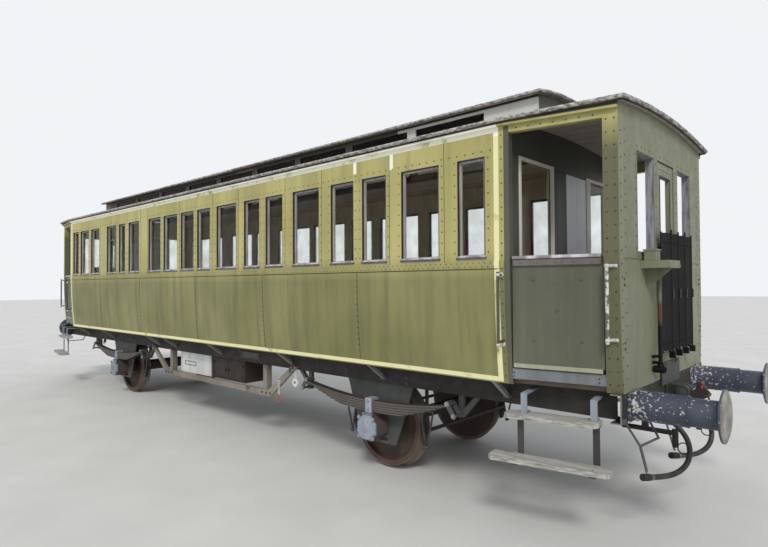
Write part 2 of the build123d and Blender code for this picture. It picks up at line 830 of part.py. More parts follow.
with BuildPart() as horn_guides:
    with BuildSketch(Plane.XZ.offset(-horn_inner)):
        Polygon(
            (-horn_top_half_width, channel_bottom - seat_gap),
            (-horn_knee_half_width, horn_knee),
            (-horn_foot_half_width, horn_bottom),
            (horn_foot_half_width, horn_bottom),
            (horn_knee_half_width, horn_knee),
            (horn_top_half_width, channel_bottom - seat_gap),
            align=None,
        )
        slot_top = axle_height + 190
        with Locations((0, (horn_bottom + horn_tie + slot_top) / 2)):
            Rectangle(2 * (neck_half_width + seat_gap), slot_top - horn_bottom - horn_tie, mode=Mode.SUBTRACT)
    extrude(amount=-(horn_outer - horn_inner))
    both_sides()
    one_pair = horn_guides.part
    horn_guides.part = None
    for x in (-axle_offset, axle_offset):
        add(one_pair.moved(Location((x, 0, 0))))
finish(horn_guides, "horn_guides")

# Leaf springs: stepped leaves that lie on one another, the master leaf on top turned up into an eye at each end
leaf_count = 9
spring_leaf = 13
leaf_width = 90
spring_half_length = 1030
spring_sag = 88
leaf_step = 70
eye_radius = 28
eye_pin_radius = 13
buckle_half_length = 45
buckle_wall = 12
spring_bottom = spring_seat + buckle_wall + seat_gap
spring_top = spring_bottom + leaf_count * spring_leaf
leaf_radius = (spring_half_length**2 + spring_sag**2) / (2 * spring_sag)


def leaf_height(along, depth):
    """Height of a leaf face, depth below the master leaf's top, at a distance from the buckle."""
    return spring_top + leaf_radius - sqrt((leaf_radius + depth) ** 2 - along**2)


eye_height = leaf_height(spring_half_length, spring_leaf) + eye_radius
spring_inner = journal_centre - leaf_width / 2
with BuildPart() as springs:
    with BuildSketch(Plane.XZ.offset(-spring_inner)):
        for leaf in range(leaf_count):
            reach = spring_half_length - leaf * leaf_step
            top = leaf * spring_leaf
            under = top + spring_leaf
            with BuildLine():
                ThreePointArc(
                    (-reach, leaf_height(reach, top)), (0, spring_top - top), (reach, leaf_height(reach, top))
                )
                Line((reach, leaf_height(reach, top)), (reach, leaf_height(reach, under)))
                ThreePointArc(
                    (reach, leaf_height(reach, under)), (0, spring_top - under), (-reach, leaf_height(reach, under))
                )
                Line((-reach, leaf_height(reach, under)), (-reach, leaf_height(reach, top)))
            make_face()
    extrude(amount=-leaf_width)
    eye_bore = bore_for(eye_pin_radius, seat_gap)
    for eye_x in (-spring_half_length, spring_half_length):
        across_rod(eye_x, eye_height, (spring_inner, spring_inner + leaf_width), eye_radius)
        across_rod(eye_x, eye_height, (spring_inner, spring_inner + leaf_width), eye_bore, mode=Mode.SUBTRACT)
    block(
        (-buckle_half_length, buckle_half_length),
        (spring_inner - buckle_wall, spring_inner + leaf_width + buckle_wall),
        (spring_bottom - buckle_wall, spring_top + 2 * buckle_wall),
    )
    both_sides()
    one_pair = springs.part
    springs.part = None
    for x in (-axle_offset, axle_offset):
        add(one_pair.moved(Location((x, 0, 0))))
finish(springs, "springs")

# Spring shackles: two links lead down from the spring's eye to a pin in the foot of a forked bracket
link_thick = 12
link_half_width = 24
link_chamfer = 14
link_lean = 75
link_drop = 105
link_inner = spring_inner - seat_gap
link_outer = spring_inner + leaf_width + seat_gap
link_pin_x = spring_half_length + link_lean
link_pin_z = eye_height - link_drop
fork_plate = (945, 985)
fork_arm = 26
fork_reach = 205
with BuildPart() as spring_shackles:
    link_angle = degrees(atan2(-link_drop, link_lean))
    link_length = hypot(link_drop, link_lean) + 2 * link_half_width
    middle = (spring_half_length + link_lean / 2, eye_height - link_drop / 2)
    for face in (link_inner - link_thick, link_outer):
        with BuildSketch(Plane.XZ.offset(-face)):
            with Locations(middle):
                Rectangle(link_length, 2 * link_half_width, rotation=link_angle)
            chamfer(vertices(), link_chamfer)
        extrude(amount=-link_thick)
    pin_end = link_outer + link_thick / 2
    across_rod(spring_half_length, eye_height, (link_inner - link_thick / 2, pin_end), eye_pin_radius)
    across_rod(link_pin_x, link_pin_z, (fork_plate[0], pin_end), eye_pin_radius)
    with BuildSketch(Plane.XZ.offset(-fork_plate[0])):
        fork_top = channel_bottom - seat_gap
        Polygon(
            (link_pin_x - fork_arm, fork_top),
            (link_pin_x - fork_arm, link_pin_z - fork_arm),
            (link_pin_x + fork_arm, link_pin_z - fork_arm),
            (link_pin_x + fork_reach, fork_top),
            (link_pin_x + fork_reach - 2 * fork_arm, fork_top),
            (link_pin_x + fork_arm, link_pin_z + 2 * fork_arm),
            (link_pin_x + fork_arm, fork_top),
            align=None,
        )
    extrude(amount=fork_plate[0] - fork_plate[1])
    both_sides()
    mirror(about=Plane.YZ)
    one_set = spring_shackles.part
    spring_shackles.part = None
    for x in (-axle_offset, axle_offset):
        add(one_set.moved(Location((x, 0, 0))))
finish(spring_shackles, "spring_shackles")

# Brake gear: a block and hanger each side of every wheel, joined in pairs by a beam
block_gap = 8
block_thick = 48
block_half_height = 150
block_inner = wheel_inner + 55
block_outer = wheel_outer - 13
hanger_width = 24
hanger_thick = 30
brake_beam_radius = 20
block_height = axle_height - 10
with BuildPart() as brake_gear:
    with BuildSketch(Plane.XZ.offset(-block_inner)):
        with Locations((0, axle_height)):
            Circle(tread_radius + block_gap + block_thick)
            Circle(tread_radius + block_gap, mode=Mode.SUBTRACT)
        with Locations((brake_offset, block_height)):
            Rectangle(3 * block_thick, 2 * block_half_height, mode=Mode.INTERSECT)
    extrude(amount=-(block_outer - block_inner))
    hanger_inner = (block_inner + block_outer - hanger_width) / 2
    hanger_back = tread_radius + block_gap + block_thick - 15
    block(
        (hanger_back, hanger_back + hanger_thick),
        (hanger_inner, hanger_inner + hanger_width),
        (block_height - 40, cross_member_bottom - seat_gap),
    )
    beam_half = hanger_inner + hanger_width / 2
    across_rod(hanger_back + hanger_thick / 2 + 10, block_height, (-beam_half, beam_half), brake_beam_radius)
    both_sides()
    one_side = brake_gear.part
    brake_gear.part = None
    for x in (-axle_offset, axle_offset):
        add(one_side.moved(Location((x, 0, 0))))
        add(mirror(one_side, about=Plane.YZ, mode=Mode.PRIVATE).moved(Location((x, 0, 0))))
finish(brake_gear, "brake_gear")

# Buffers: a round casing bolted to the headstock and a plunger with a domed head
buffer_across = 875
buffer_reach = 623
casing_length = 384
casing_radius = 114
plunger_radius = 104
plunger_inside = 200
casing_bore = 220
head_radius = 188
head_thick = 26
flat_radius = 150
base_half_width = 150
base_half_height = 108
base_thick = 18
buffer_face = half_length + buffer_reach
casing_mouth = headstock_face + casing_length
buffer_axis = Location((0, buffer_across, buffer_height))
with BuildPart() as buffer_casings:
    with BuildSketch(Plane.XZ):
        with BuildLine():
            Polyline(
                (headstock_face + base_thick, 0),
                (headstock_face + base_thick, casing_radius),
                (casing_mouth, casing_radius),
                (casing_mouth, plunger_radius + seat_gap),
                (casing_mouth - casing_bore, plunger_radius + seat_gap),
                (casing_mouth - casing_bore, 0),
                close=True,
            )
        make_face()
    revolve(axis=Axis.X)
    block(
        (headstock_face + seat_gap, headstock_face + base_thick),
        (-base_half_width, base_half_width),
        (-base_half_height, base_half_height),
    )
    one_buffer = buffer_casings.part.moved(buffer_axis)
    buffer_casings.part = None
    add(one_buffer)
    both_sides()
    both_ends()
finish(buffer_casings, "buffer_casings")
with BuildPart() as buffer_heads:
    with BuildSketch(Plane.XZ):
        with BuildLine():
            Polyline(
                (casing_mouth - plunger_inside, 0),
                (casing_mouth - plunger_inside, plunger_radius),
                (buffer_face - 2 * head_thick, plunger_radius),
                (buffer_face - head_thick, head_radius),
                (buffer_face - head_thick / 2, head_radius),
                (buffer_face, flat_radius),
                (buffer_face, 0),
                close=True,
            )
        make_face()
    revolve(axis=Axis.X)
    one_head = buffer_heads.part.moved(buffer_axis)
    buffer_heads.part = None
    add(one_head)
    both_sides()
    both_ends()
finish(buffer_heads, "buffer_heads")

# Draw gear: washer plate, trunnion and open hook in the middle of each headstock
hook_thick = 46
washer = 110
washer_thick = 16
trunnion_radius = 44
trunnion_half_length = 62
trunnion_x = headstock_face + 130
hook_outline = [
    # forward of the headstock, above the middle of the hook
    (washer_thick, -40),
    (265, -62),
    (325, -32),
    (335, -10),
    (255, 88),
    (233, 84),
    (225, 38),
    (203, 10),
    (178, 12),
    (162, 40),
    (washer_thick, 40),
]
with BuildPart() as draw_gear:
    block(
        (headstock_face + seat_gap, headstock_face + washer_thick),
        (-washer, washer),
        (buffer_height - washer + 12, buffer_height + washer - 12),
    )
    with BuildSketch(Plane.XZ.offset(-hook_thick / 2)):
        Polygon(*[(headstock_face + x, buffer_height + z) for x, z in hook_outline], align=None)
    extrude(amount=hook_thick)
    across_rod(trunnion_x, buffer_height, (-trunnion_half_length, trunnion_half_length), trunnion_radius)
    both_ends()
finish(draw_gear, "draw_gear")

# End pipes: at each end two brake pipes, each with a cock for its hose, and two heating pipes
# that end in a stub with a ring
hoses_at = (-330, 400)
hose_radius = 21
hose_route = [
    # forward of the headstock, across from the cock, height
    (120, 0, flange_depth + 832),
    (210, -2, flange_depth + 757),
    (260, -25, flange_depth + 637),
    (255, -100, flange_depth + 532),
    (205, -215, flange_depth + 477),
    (140, -360, flange_depth + 472),
    (85, -495, flange_depth + 492),
]
pipe_radius = 21
pipe_root = headstock_face - 225
pipe_height = flange_depth + 877
nipple_radius = 27
nipple_length = 70
cock_half = 32
saddle = (headstock_face - 65, headstock_face - 20)
stub_pipe_offset = -170
stub_pipe_height = flange_depth + 782
stub_pipe_reach = headstock_face + 185
stub_bottom = flange_depth + 672
stub_radius = 24
ring_outer = 48
ring_bar = 8
ring_stand_off = 60
with BuildPart() as end_pipes:
    for hose_y in hoses_at:
        corners = [Vector(headstock_face + x, hose_y + y, z) for x, y, z in hose_route]
        outlet = (corners[1] - corners[0]).normalized()
        with BuildSketch(Plane(origin=corners[0], z_dir=outlet)):
            RegularPolygon(nipple_radius, rod_sides)
        extrude(amount=-nipple_length)
        cock_x = corners[0].X - nipple_length * outlet.X
        cock_y = (hose_y - cock_half, hose_y + cock_half)
        block((cock_x - cock_half, cock_x + cock_half), cock_y, (pipe_height - cock_half, pipe_height + cock_half))
        stub_y = hose_y + stub_pipe_offset
        for pipe_y, height, reach in ((hose_y, pipe_height, cock_x), (stub_y, stub_pipe_height, stub_pipe_reach)):
            with BuildSketch(Plane.YZ.offset(pipe_root)):
                with Locations((pipe_y, height)):
                    RegularPolygon(pipe_radius, barrel_sides)
            extrude(amount=reach - pipe_root)
            block(saddle, (pipe_y - pipe_radius, pipe_y + pipe_radius), (height, channel_bottom - seat_gap))
        upright_rod(stub_pipe_reach, stub_y, (stub_bottom, stub_pipe_height + cock_half), stub_radius)
        with BuildSketch(Plane.XZ.offset(-stub_y - ring_bar / 2)):
            with Locations((stub_pipe_reach + ring_stand_off, stub_bottom)):
                RegularPolygon(ring_outer, rod_sides)
                RegularPolygon(ring_outer - ring_bar, rod_sides, mode=Mode.SUBTRACT)
        extrude(amount=ring_bar)
    add(end_pipes.part.rotate(Axis.Z, 180))
finish(end_pipes, "end_pipes")


def bend_radii(corners):
    """Bend radius at each inner corner: 0.45 of the shorter run over the tangent of half the turn."""
    runs = [end - start for start, end in zip(corners, corners[1:])]
    return [
        0.45 * min(first.length, second.length) / tan(radians(first.get_angle(second)) / 2)
        for first, second in zip(runs, runs[1:])
    ]


# Brake hoses: each hangs from its cock in a loop and comes back to the head that closes it
head_half = 26
head_length = 76
with BuildPart() as brake_hoses:
    for hose_y in hoses_at:
        corners = [Vector(headstock_face + x, hose_y + y, z) for x, y, z in hose_route]
        radii = bend_radii(corners)
        with BuildLine() as hose_line:
            FilletPolyline(*corners, radius=radii)
        with BuildSketch(Plane(origin=hose_line.line @ 0, z_dir=hose_line.line % 0)) as hose_section:
            RegularPolygon(hose_radius, rod_sides, major_radius=False)
        sweep(hose_section.sketch, path=hose_line.wire())
    hose_length = hose_line.wire().length
    print("hose length", round(hose_length), "bend radii", [round(radius) for radius in radii])
    print(
        "hose volume over section times length",
        round(brake_hoses.part.volume / (len(hoses_at) * hose_section.sketch.area * hose_length), 4),
    )
    add(brake_hoses.part.rotate(Axis.Z, 180))
finish(brake_hoses, "brake_hoses")
with BuildPart() as hose_heads:
    for hose_y in hoses_at:
        corners = [Vector(headstock_face + x, hose_y + y, z) for x, y, z in hose_route]
        with BuildSketch(Plane(origin=corners[-1], z_dir=(corners[-1] - corners[-2]).normalized())):
            RegularPolygon(head_half / cos(radians(180 / barrel_sides)), barrel_sides)
        extrude(amount=head_length)
    add(hose_heads.part.rotate(Axis.Z, 180))
finish(hose_heads, "hose_heads")

# Shunter's grips: a bent rod under each buffer; from one hangs the strap that holds a hose's head
grip_radius = 9
grip_pad = 20
grip_stand_off = 14
grip_route = [
    # forward of the headstock, distance from the centre line, height
    (grip_stand_off, 1130, channel_bottom + 26),
    (95, 1050, flange_depth + 780),
    (125, 720, flange_depth + 780),
    (grip_stand_off, 690, channel_bottom + 26),
]
strap_thick = 8
strap_width = 32
strap_foot = (82, -540, flange_depth + 545)
strap_tops = [
    # forward of the headstock, across from the hose's cock, height of the strap's upper end
    (95, -720, flange_depth + 780),
    (-40, -500, channel_bottom - 8),
]
with BuildPart() as grip_handles:
    corners = [Vector(headstock_face + x, y, z) for x, y, z in grip_route]
    with BuildLine() as grip_line:
        Polyline(*corners)
    with BuildSketch(Plane(origin=grip_line.line @ 0, z_dir=grip_line.line % 0)) as grip_section:
        RegularPolygon(grip_radius, barrel_sides)
    sweep(grip_section.sketch, path=grip_line.wire(), transition=Transition.RIGHT)
    for corner in (corners[0], corners[-1]):
        block(
            (headstock_face + seat_gap, headstock_face + grip_stand_off + grip_radius),
            (corner.Y - grip_pad, corner.Y + grip_pad),
            (corner.Z - grip_pad, corner.Z + grip_pad),
        )
    both_sides()
    for hose_y, (top_x, top_y, top_z) in zip(hoses_at, strap_tops):
        foot = Vector(headstock_face + strap_foot[0], hose_y + strap_foot[1], strap_foot[2])
        top = Vector(headstock_face + top_x, hose_y + top_y, top_z)
        with BuildSketch(Plane(origin=foot, x_dir=(0, 1, 0), z_dir=(top - foot).normalized())):
            Rectangle(strap_width, strap_thick)
        extrude(amount=(top - foot).length)
    block(
        (top.X - strap_width / 2, top.X + strap_width / 2),
        (top.Y - strap_width / 2, top.Y + strap_width / 2),
        (top.Z - strap_thick, channel_bottom - seat_gap),
    )
    add(grip_handles.part.rotate(Axis.Z, 180))
finish(grip_handles, "grip_handles")

# Steps: two bevelled boards along each tapered platform side, the lower one longer and further out
board_thick = 36
board_bevel = 30
step_table = [
    # outward from the side, along it, height of the top
    ((-60, 115), (20, 740), flange_depth + 950),
    ((20, 190), (-90, 830), flange_depth + 622),
]
with BuildPart() as step_boards:
    for outward, along, top in step_table:
        with BuildSketch(Plane.XZ.offset(-top)):
            with Locations((sum(outward) / 2, sum(along) / 2)):
                Rectangle(outward[1] - outward[0], along[1] - along[0])
            chamfer(vertices().group_by(Axis.X)[-1], board_bevel)
        extrude(amount=board_thick)
    one_pair = step_boards.part
    step_boards.part = None
    add(one_pair.moved(platform_side.location))
    both_sides()
    both_ends()
finish(step_boards, "step_boards")

# Step irons: flat bars bent out from the sole bar and down to the upper board, and on to the lower
iron_thick = 12
iron_width = 50
iron_top = channel_bottom + 170
iron_bend = 32
irons_at = [
    # place along the platform side of the strap above the upper board and of the hanger below it
    (165, 130),
    (700, 712),
]


def flat_bar(points, thick):
    """A bar of even thickness along straight runs, in the sketch under way."""
    for (start_x, start_y), (end_x, end_y) in zip(points, points[1:]):
        run = hypot(end_x - start_x, end_y - start_y)
        with Locations(((start_x + end_x) / 2, (start_y + end_y) / 2)):
            Rectangle(run + thick, thick, rotation=degrees(atan2(end_y - start_y, end_x - start_x)))


with BuildPart() as step_irons:
    iron_seat = iron_thick / 2 + seat_gap
    (upper_out, upper_along, upper_top), (lower_out, lower_along, lower_top) = step_table
    lower_back = lower_out[0] - iron_seat
    for strap_at, hanger_at in irons_at:
        face = (sole_bar_outer - saloon_half_width + (strap_at + iron_width / 2) * sin(taper)) / cos(taper)
        with BuildSketch(platform_side.offset(strap_at)):
            flat_bar(
                [
                    (face + iron_seat, iron_top),
                    (iron_bend, iron_top),
                    (iron_bend, upper_top + iron_seat),
                    (upper_out[0] + iron_thick, upper_top + iron_seat),
                ],
                iron_thick,
            )
        extrude(amount=iron_width / 2, both=True)
        with BuildSketch(platform_side.offset(hanger_at)):
            flat_bar(
                [
                    (upper_out[0] + iron_thick, upper_top - board_thick - iron_seat),
                    (lower_back, upper_top - board_thick - iron_seat),
                    (lower_back, lower_top - board_thick - iron_seat),
                    (lower_out[1] - iron_thick, lower_top - board_thick - iron_seat),
                ],
                iron_thick,
            )
        extrude(amount=iron_width / 2, both=True)
    both_sides()
    both_ends()
finish(step_irons, "step_irons")

# Handrails beside each platform entrance, on the end of the saloon side and on the corner post
rail_radius = 13
rail_stand_off = 60
rail_tail = 25
rail_foot_half = 10
rail_table = [
    # side that carries it, place along that side, lower and upper fixing
    (saloon_side, saloon_half_length - 27, waist - 605, waist - 55),
    (platform_side, platform_side_length - 81, waist - 555, waist),
]
with BuildPart() as handrails:
    for side_plane, along, low, high in rail_table:
        with BuildSketch(side_plane.offset(along - rail_foot_half)):
            for height in (low, high):
                foot = -lean(height + rail_foot_half) + seat_gap
                with Locations(((foot + rail_stand_off) / 2, height)):
                    Rectangle(rail_stand_off - foot, 2 * rail_foot_half)
        extrude(amount=2 * rail_foot_half)
        foot = side_plane.from_local_coords((rail_stand_off, 0, along))
        upright_rod(foot.X, foot.Y, (low - rail_tail, high + rail_tail), rail_radius)
    both_sides()
    both_ends()
finish(handrails, "handrails")

# Folded gangway gate of sheet steel beside each centre door, and the round post across from it
gate_folds = 8
gate_span = (-290, 540)
gate_bottom = flange_depth + 1410
gate_top = flange_depth + 2415
gate_middle = half_length + 62
gate_swing = 26
gate_sheet = 5
gate_bar_radius = 13
gate_bar_tail = 30
bracket_half = 12
bracket_height = 24
post_across = -440
post_radius = 17
post_bottom = flange_depth + 1290
post_top = flange_depth + 2095
post_stand_off = 62
with BuildPart() as gangway_gates:
    fold = (gate_span[1] - gate_span[0]) / gate_folds
    with BuildSketch(Plane.XY.offset(gate_bottom)):
        folds = [
            (gate_middle + (gate_swing if turn % 2 else -gate_swing), gate_span[0] + turn * fold)
            for turn in range(gate_folds + 1)
        ]
        flat_bar(folds, gate_sheet)
    extrude(amount=gate_top - gate_bottom)
    upright_rod(gate_middle - gate_swing, gate_span[1], (gate_bottom - gate_bar_tail, gate_top), gate_bar_radius)
    for height in (gate_bottom - gate_bar_tail, end_window_sill - 3 * bracket_height):
        block(
            (half_length + seat_gap, gate_middle - gate_swing),
            (gate_span[1] - bracket_half, gate_span[1] + bracket_half),
            (height, height + bracket_height),
        )
    upright_rod(half_length + post_stand_off, post_across, (post_bottom, post_top), post_radius)
    for height in (post_bottom + bracket_height, post_top - 2 * bracket_height):
        block(
            (half_length + seat_gap, half_length + post_stand_off),
            (post_across - bracket_half, post_across + bracket_half),
            (height, height + bracket_height),
        )
    add(gangway_gates.part.rotate(Axis.Z, 180))
finish(gangway_gates, "gangway_gates")

# Lamp shelves: a rimmed shelf on a gusset beside each centre door
shelf_across = (-700, -420)
shelf_reach = 215
shelf_bottom = flange_depth + 2105
shelf_top = flange_depth + 2165
shelf_rim = 10
gusset_thick = 14
gusset_drop = 165
with BuildPart() as lamp_shelves:
    shelf_from = half_length + seat_gap
    shelf_middle = sum(shelf_across) / 2
    block((shelf_from, half_length + shelf_reach), shelf_across, (shelf_bottom, shelf_top))
    block(
        (half_length + shelf_rim, half_length + shelf_reach - shelf_rim),
        (shelf_across[0] + shelf_rim, shelf_across[1] - shelf_rim),
        (shelf_bottom - shelf_rim, shelf_top - shelf_rim),
        mode=Mode.SUBTRACT,
    )
    with BuildSketch(Plane.XZ.offset(-shelf_middle - gusset_thick / 2)):
        Polygon(
            (shelf_from, shelf_bottom - gusset_drop),
            (half_length + shelf_reach - 2 * shelf_rim, shelf_bottom),
            (half_length + shelf_reach - 2 * shelf_rim, shelf_top - shelf_rim),
            (shelf_from, shelf_top - shelf_rim),
            align=None,
        )
    extrude(amount=gusset_thick)
    add(lamp_shelves.part.rotate(Axis.Z, 180))
finish(lamp_shelves, "lamp_shelves")

# Fall plates hang below the centre doors and lift to bridge the gap between coaches
plate_axis_x = half_length + 16
plate_axis_z = flange_depth + 1290
plate_half_width = 255
plate_thick = 8
plate_bottom = flange_depth + 1107
plate_barrel = 10
plate_pin = 5
plate_gap = 6
lug_across = (200, 228)
knuckle_across = (170, 199)
with BuildPart() as fall_plate_near:
    block(
        (plate_axis_x - plate_thick / 2, plate_axis_x + plate_thick / 2),
        (-plate_half_width, plate_half_width),
        (plate_bottom, plate_axis_z - plate_barrel - plate_gap),
    )
    for side in (-1, 1):
        across = sorted((side * knuckle_across[0], side * knuckle_across[1]))
        block(
            (plate_axis_x - plate_thick / 2, plate_axis_x + plate_thick / 2),
            across,
            (plate_axis_z - plate_barrel - plate_gap, plate_axis_z),
        )
        across_rod(plate_axis_x, plate_axis_z, across, plate_barrel, barrel_sides)
        plate_bore = bore_for(plate_pin, pin_clearance, barrel_sides)
        across_rod(plate_axis_x, plate_axis_z, across, plate_bore, barrel_sides, mode=Mode.SUBTRACT)
with BuildPart() as fall_plate_far:
    add(fall_plate_near.part.rotate(Axis.Z, 180))
finish(fall_plate_near, "fall_plate_near")
finish(fall_plate_far, "fall_plate_far")
with BuildPart() as fall_plate_lugs:
    block(
        (half_length + seat_gap, plate_axis_x),
        lug_across,
        (plate_axis_z - plate_barrel, plate_axis_z + plate_barrel),
    )
    across_rod(plate_axis_x, plate_axis_z, lug_across, plate_barrel, barrel_sides)
    across_rod(plate_axis_x, plate_axis_z, (knuckle_across[0], lug_across[1]), plate_pin, barrel_sides)
    both_sides()
    both_ends()
with BuildPart() as hinge_lugs:
    add(half_door_lugs.part)
    add(fall_plate_lugs.part)
    for lugs in (end_door_lugs, bulkhead_door_lugs):
        add(lugs.part)
        add(lugs.part.rotate(Axis.Z, 180))
finish(hinge_lugs, "hinge_lugs")

# Slatted bench seats back to back on each side of the aisle
aisle_half_width = 360
bench_wall_gap = 30
bench_outer = saloon_half_width - wall - lean(floor_top, wall) - bench_wall_gap
bench_across = (aisle_half_width, bench_outer)
bench_half_depth = 470
bench_height = 430
bench_thick = 42
bench_leg = 60
back_height = 520
back_thick = 44
benches_at = (-3600, -2160, -720, 720, 2160, 3600)
with BuildPart() as bench_seats:
    for x in benches_at:
        block(
            (x - bench_half_depth, x + bench_half_depth),
            bench_across,
            (floor_top + bench_height - bench_thick, floor_top + bench_height),
        )
        block(
            (x - bench_leg / 2, x + bench_leg / 2),
            bench_across,
            (floor_top + seat_gap, floor_top + bench_height - bench_thick),
        )
    both_sides()
finish(bench_seats, "bench_seats")
with BuildPart() as bench_backs:
    for x in benches_at:
        block(
            (x - back_thick / 2, x + back_thick / 2),
            bench_across,
            (floor_top + bench_height + seat_gap, floor_top + bench_height + back_height),
        )
    both_sides()
finish(bench_backs, "bench_backs")
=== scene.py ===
import bpy
import bmesh
import math
from mathutils import Matrix, Vector


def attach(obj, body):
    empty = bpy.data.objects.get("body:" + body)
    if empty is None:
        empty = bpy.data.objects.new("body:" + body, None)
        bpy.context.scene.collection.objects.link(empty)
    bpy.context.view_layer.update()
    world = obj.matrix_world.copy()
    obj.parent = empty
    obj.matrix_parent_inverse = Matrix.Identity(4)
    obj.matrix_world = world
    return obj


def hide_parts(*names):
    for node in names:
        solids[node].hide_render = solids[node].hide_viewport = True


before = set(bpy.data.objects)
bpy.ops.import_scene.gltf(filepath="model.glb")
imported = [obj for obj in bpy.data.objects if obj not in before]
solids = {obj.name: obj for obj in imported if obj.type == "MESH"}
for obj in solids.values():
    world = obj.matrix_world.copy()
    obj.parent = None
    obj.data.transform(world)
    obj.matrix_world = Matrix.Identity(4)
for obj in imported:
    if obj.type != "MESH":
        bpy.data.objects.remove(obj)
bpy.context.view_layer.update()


# Camera: it stands on the ground beside the near end, at eye height, and looks back along the
# coach. Its place and angles come from points of the photograph, the lens from the same fit.
def new_object(name, data):
    """A new object in the scene."""
    made = bpy.data.objects.new(name, data)
    bpy.context.scene.collection.objects.link(made)
    return made


yaw, pitch, roll = (math.radians(angle) for angle in (42.58, 1.13, -0.31))
ahead = Vector((-math.sin(yaw) * math.cos(pitch), math.cos(yaw) * math.cos(pitch), math.sin(pitch)))
level_right = ahead.cross(Vector((0, 0, 1))).normalized()
level_up = level_right.cross(ahead)
picture_right = level_right * math.cos(roll) + level_up * math.sin(roll)
picture_up = level_up * math.cos(roll) - level_right * math.sin(roll)
lens = bpy.data.cameras.new("yard_camera")
lens.lens = 26.04
lens.sensor_width = 36
lens.clip_end = 200
camera = new_object("yard_camera", lens)
aim = Matrix((picture_right, picture_up, -ahead)).transposed().to_4x4()
camera.matrix_world = Matrix.Translation((7.4241, -5.3659, 2.0135)) @ aim
bpy.context.scene.camera = camera


# Floor and light: a plain pale yard floor, an even pale sky and one broad soft lamp on the
# camera's side. The floor is a stage and isn't part of the coach.
def feed(socket, value):
    """Link a socket to another one, or set its number or colour."""
    if isinstance(value, bpy.types.NodeSocket):
        socket.id_data.links.new(value, socket)
    else:
        socket.default_value = (*value, 1) if socket.type == "RGBA" else value


def add_node(place, kind, inputs=None, **settings):
    """Add a shader node to a place's tree, feed its sockets, and give its first output."""
    made = place.id_data.nodes.new("ShaderNode" + kind)
    for name, value in settings.items():
        setattr(made, name, value)
    for socket, value in (inputs or {}).items():
        feed(made.inputs[socket], value)
    return made.outputs[0]


def reckon(operation, first, *rest):
    """Reckon with masks and numbers."""
    return add_node(first, "Math", dict(enumerate((first, *rest))), operation=operation)


def ramp(value, low, high, start=0.0, end=1.0):
    """A mask that runs from start, where the value is low, to end, where it is high."""
    inputs = {"Value": value, "From Min": low, "From Max": high, "To Min": start, "To Max": end}
    return add_node(value, "MapRange", inputs)


def patches(place, scale, low, high, detail=5.0, stretch=(1, 1, 1)):
    """A mask of uneven patches: 0 below low, 1 above high."""
    laid = add_node(place, "Mapping", {"Vector": place, "Scale": stretch})
    cloud = add_node(place, "TexNoise", {"Vector": laid, "Scale": scale, "Detail": detail})
    return ramp(cloud, low, high)


def over(mask, under, top):
    """Colour top where the mask is 1, colour under where it is 0."""
    blend = add_node(mask, "Mix", data_type="RGBA").node
    for socket, value in zip([socket for socket in blend.inputs if socket.enabled], (mask, under, top)):
        feed(socket, value)
    return next(socket for socket in blend.outputs if socket.enabled)


def give(finish, name, value):
    """Feed one socket of a finish's shader."""
    feed(finish.node_tree.nodes["Principled BSDF"].inputs[name], value)


def new_finish(name, roughness, metallic=0.0):
    """A new material, and the place on a piece in metres for its patterns."""
    finish = bpy.data.materials.new(name)
    finish.use_nodes = True
    give(finish, "Roughness", roughness)
    give(finish, "Metallic", metallic)
    return finish, add_node(finish.node_tree, "TexCoord").node.outputs["Object"]


def rough_face(finish, height, distance, strength):
    """Small relief from a height mask."""
    inputs = {"Height": height, "Distance": distance, "Strength": strength}
    give(finish, "Normal", add_node(height, "Bump", inputs))


def mottled(name, roughness, under, top, *patch, metallic=0.0, relief=None, **pattern):
    """A finish of two tones in uneven patches, which may stand out in relief."""
    finish, place = new_finish(name, roughness, metallic)
    worn = patches(place, *patch, **pattern)
    give(finish, "Base Color", over(worn, under, top))
    if relief:
        rough_face(finish, worn, *relief)
    return finish


floor_mesh = bpy.data.meshes.new("yard_floor")
floor = new_object("yard_floor", floor_mesh)
shape = bmesh.new()
bmesh.ops.create_circle(shape, cap_ends=True, segments=96, radius=90)
shape.to_mesh(floor_mesh)
shape.free()
floor_mesh.materials.append(
    mottled("yard_floor", 0.9, (0.60, 0.60, 0.59), (0.66, 0.66, 0.65), 1.2, 0.3, 0.7)
)

sky = bpy.data.worlds.new("even_sky")
sky.use_nodes = True
bpy.context.scene.world = sky
tree = sky.node_tree
light_sky = tree.nodes["Background"]
feed(light_sky.inputs["Color"], (0.93, 0.96, 1.0))
feed(light_sky.inputs["Strength"], 0.72)
seen_sky = add_node(tree, "Background", {"Color": (0.88, 0.90, 0.92), "Strength": 1.0})
ray = add_node(tree, "LightPath").node.outputs
seen = reckon("MAXIMUM", ray["Is Camera Ray"], ray["Is Glossy Ray"])
seen = reckon("MAXIMUM", seen, ray["Is Transmission Ray"])
both = add_node(tree, "MixShader", {0: seen, 1: light_sky.outputs[0], 2: seen_sky})
feed(tree.nodes["World Output"].inputs["Surface"], both)
lamp = bpy.data.lights.new("soft_lamp", "SUN")
lamp.energy = 1.7
lamp.angle = math.radians(14)
lamp.color = (1.0, 0.97, 0.9)
new_object("soft_lamp", lamp).rotation_euler = [math.radians(angle) for angle in (48, 14, 28)]
bpy.context.scene.view_settings.view_transform = "Standard"


# Brake hoses: black rubber over canvas, one from each cock under the headstocks. Each hangs in
# a loop and ends in the head that closes it; a steel band clamps both its ends.
def keep(name, shape, finish, body="coach", smooth=False):
    """Turn a bmesh into a piece of the coach that moves with a body."""
    mesh = bpy.data.meshes.new(name)
    bmesh.ops.recalc_face_normals(shape, faces=shape.faces[:])
    shape.to_mesh(mesh)
    shape.free()
    mesh.materials.append(finish)
    if smooth:
        mesh.shade_smooth()
    piece = new_object(name, mesh)
    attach(piece, body)


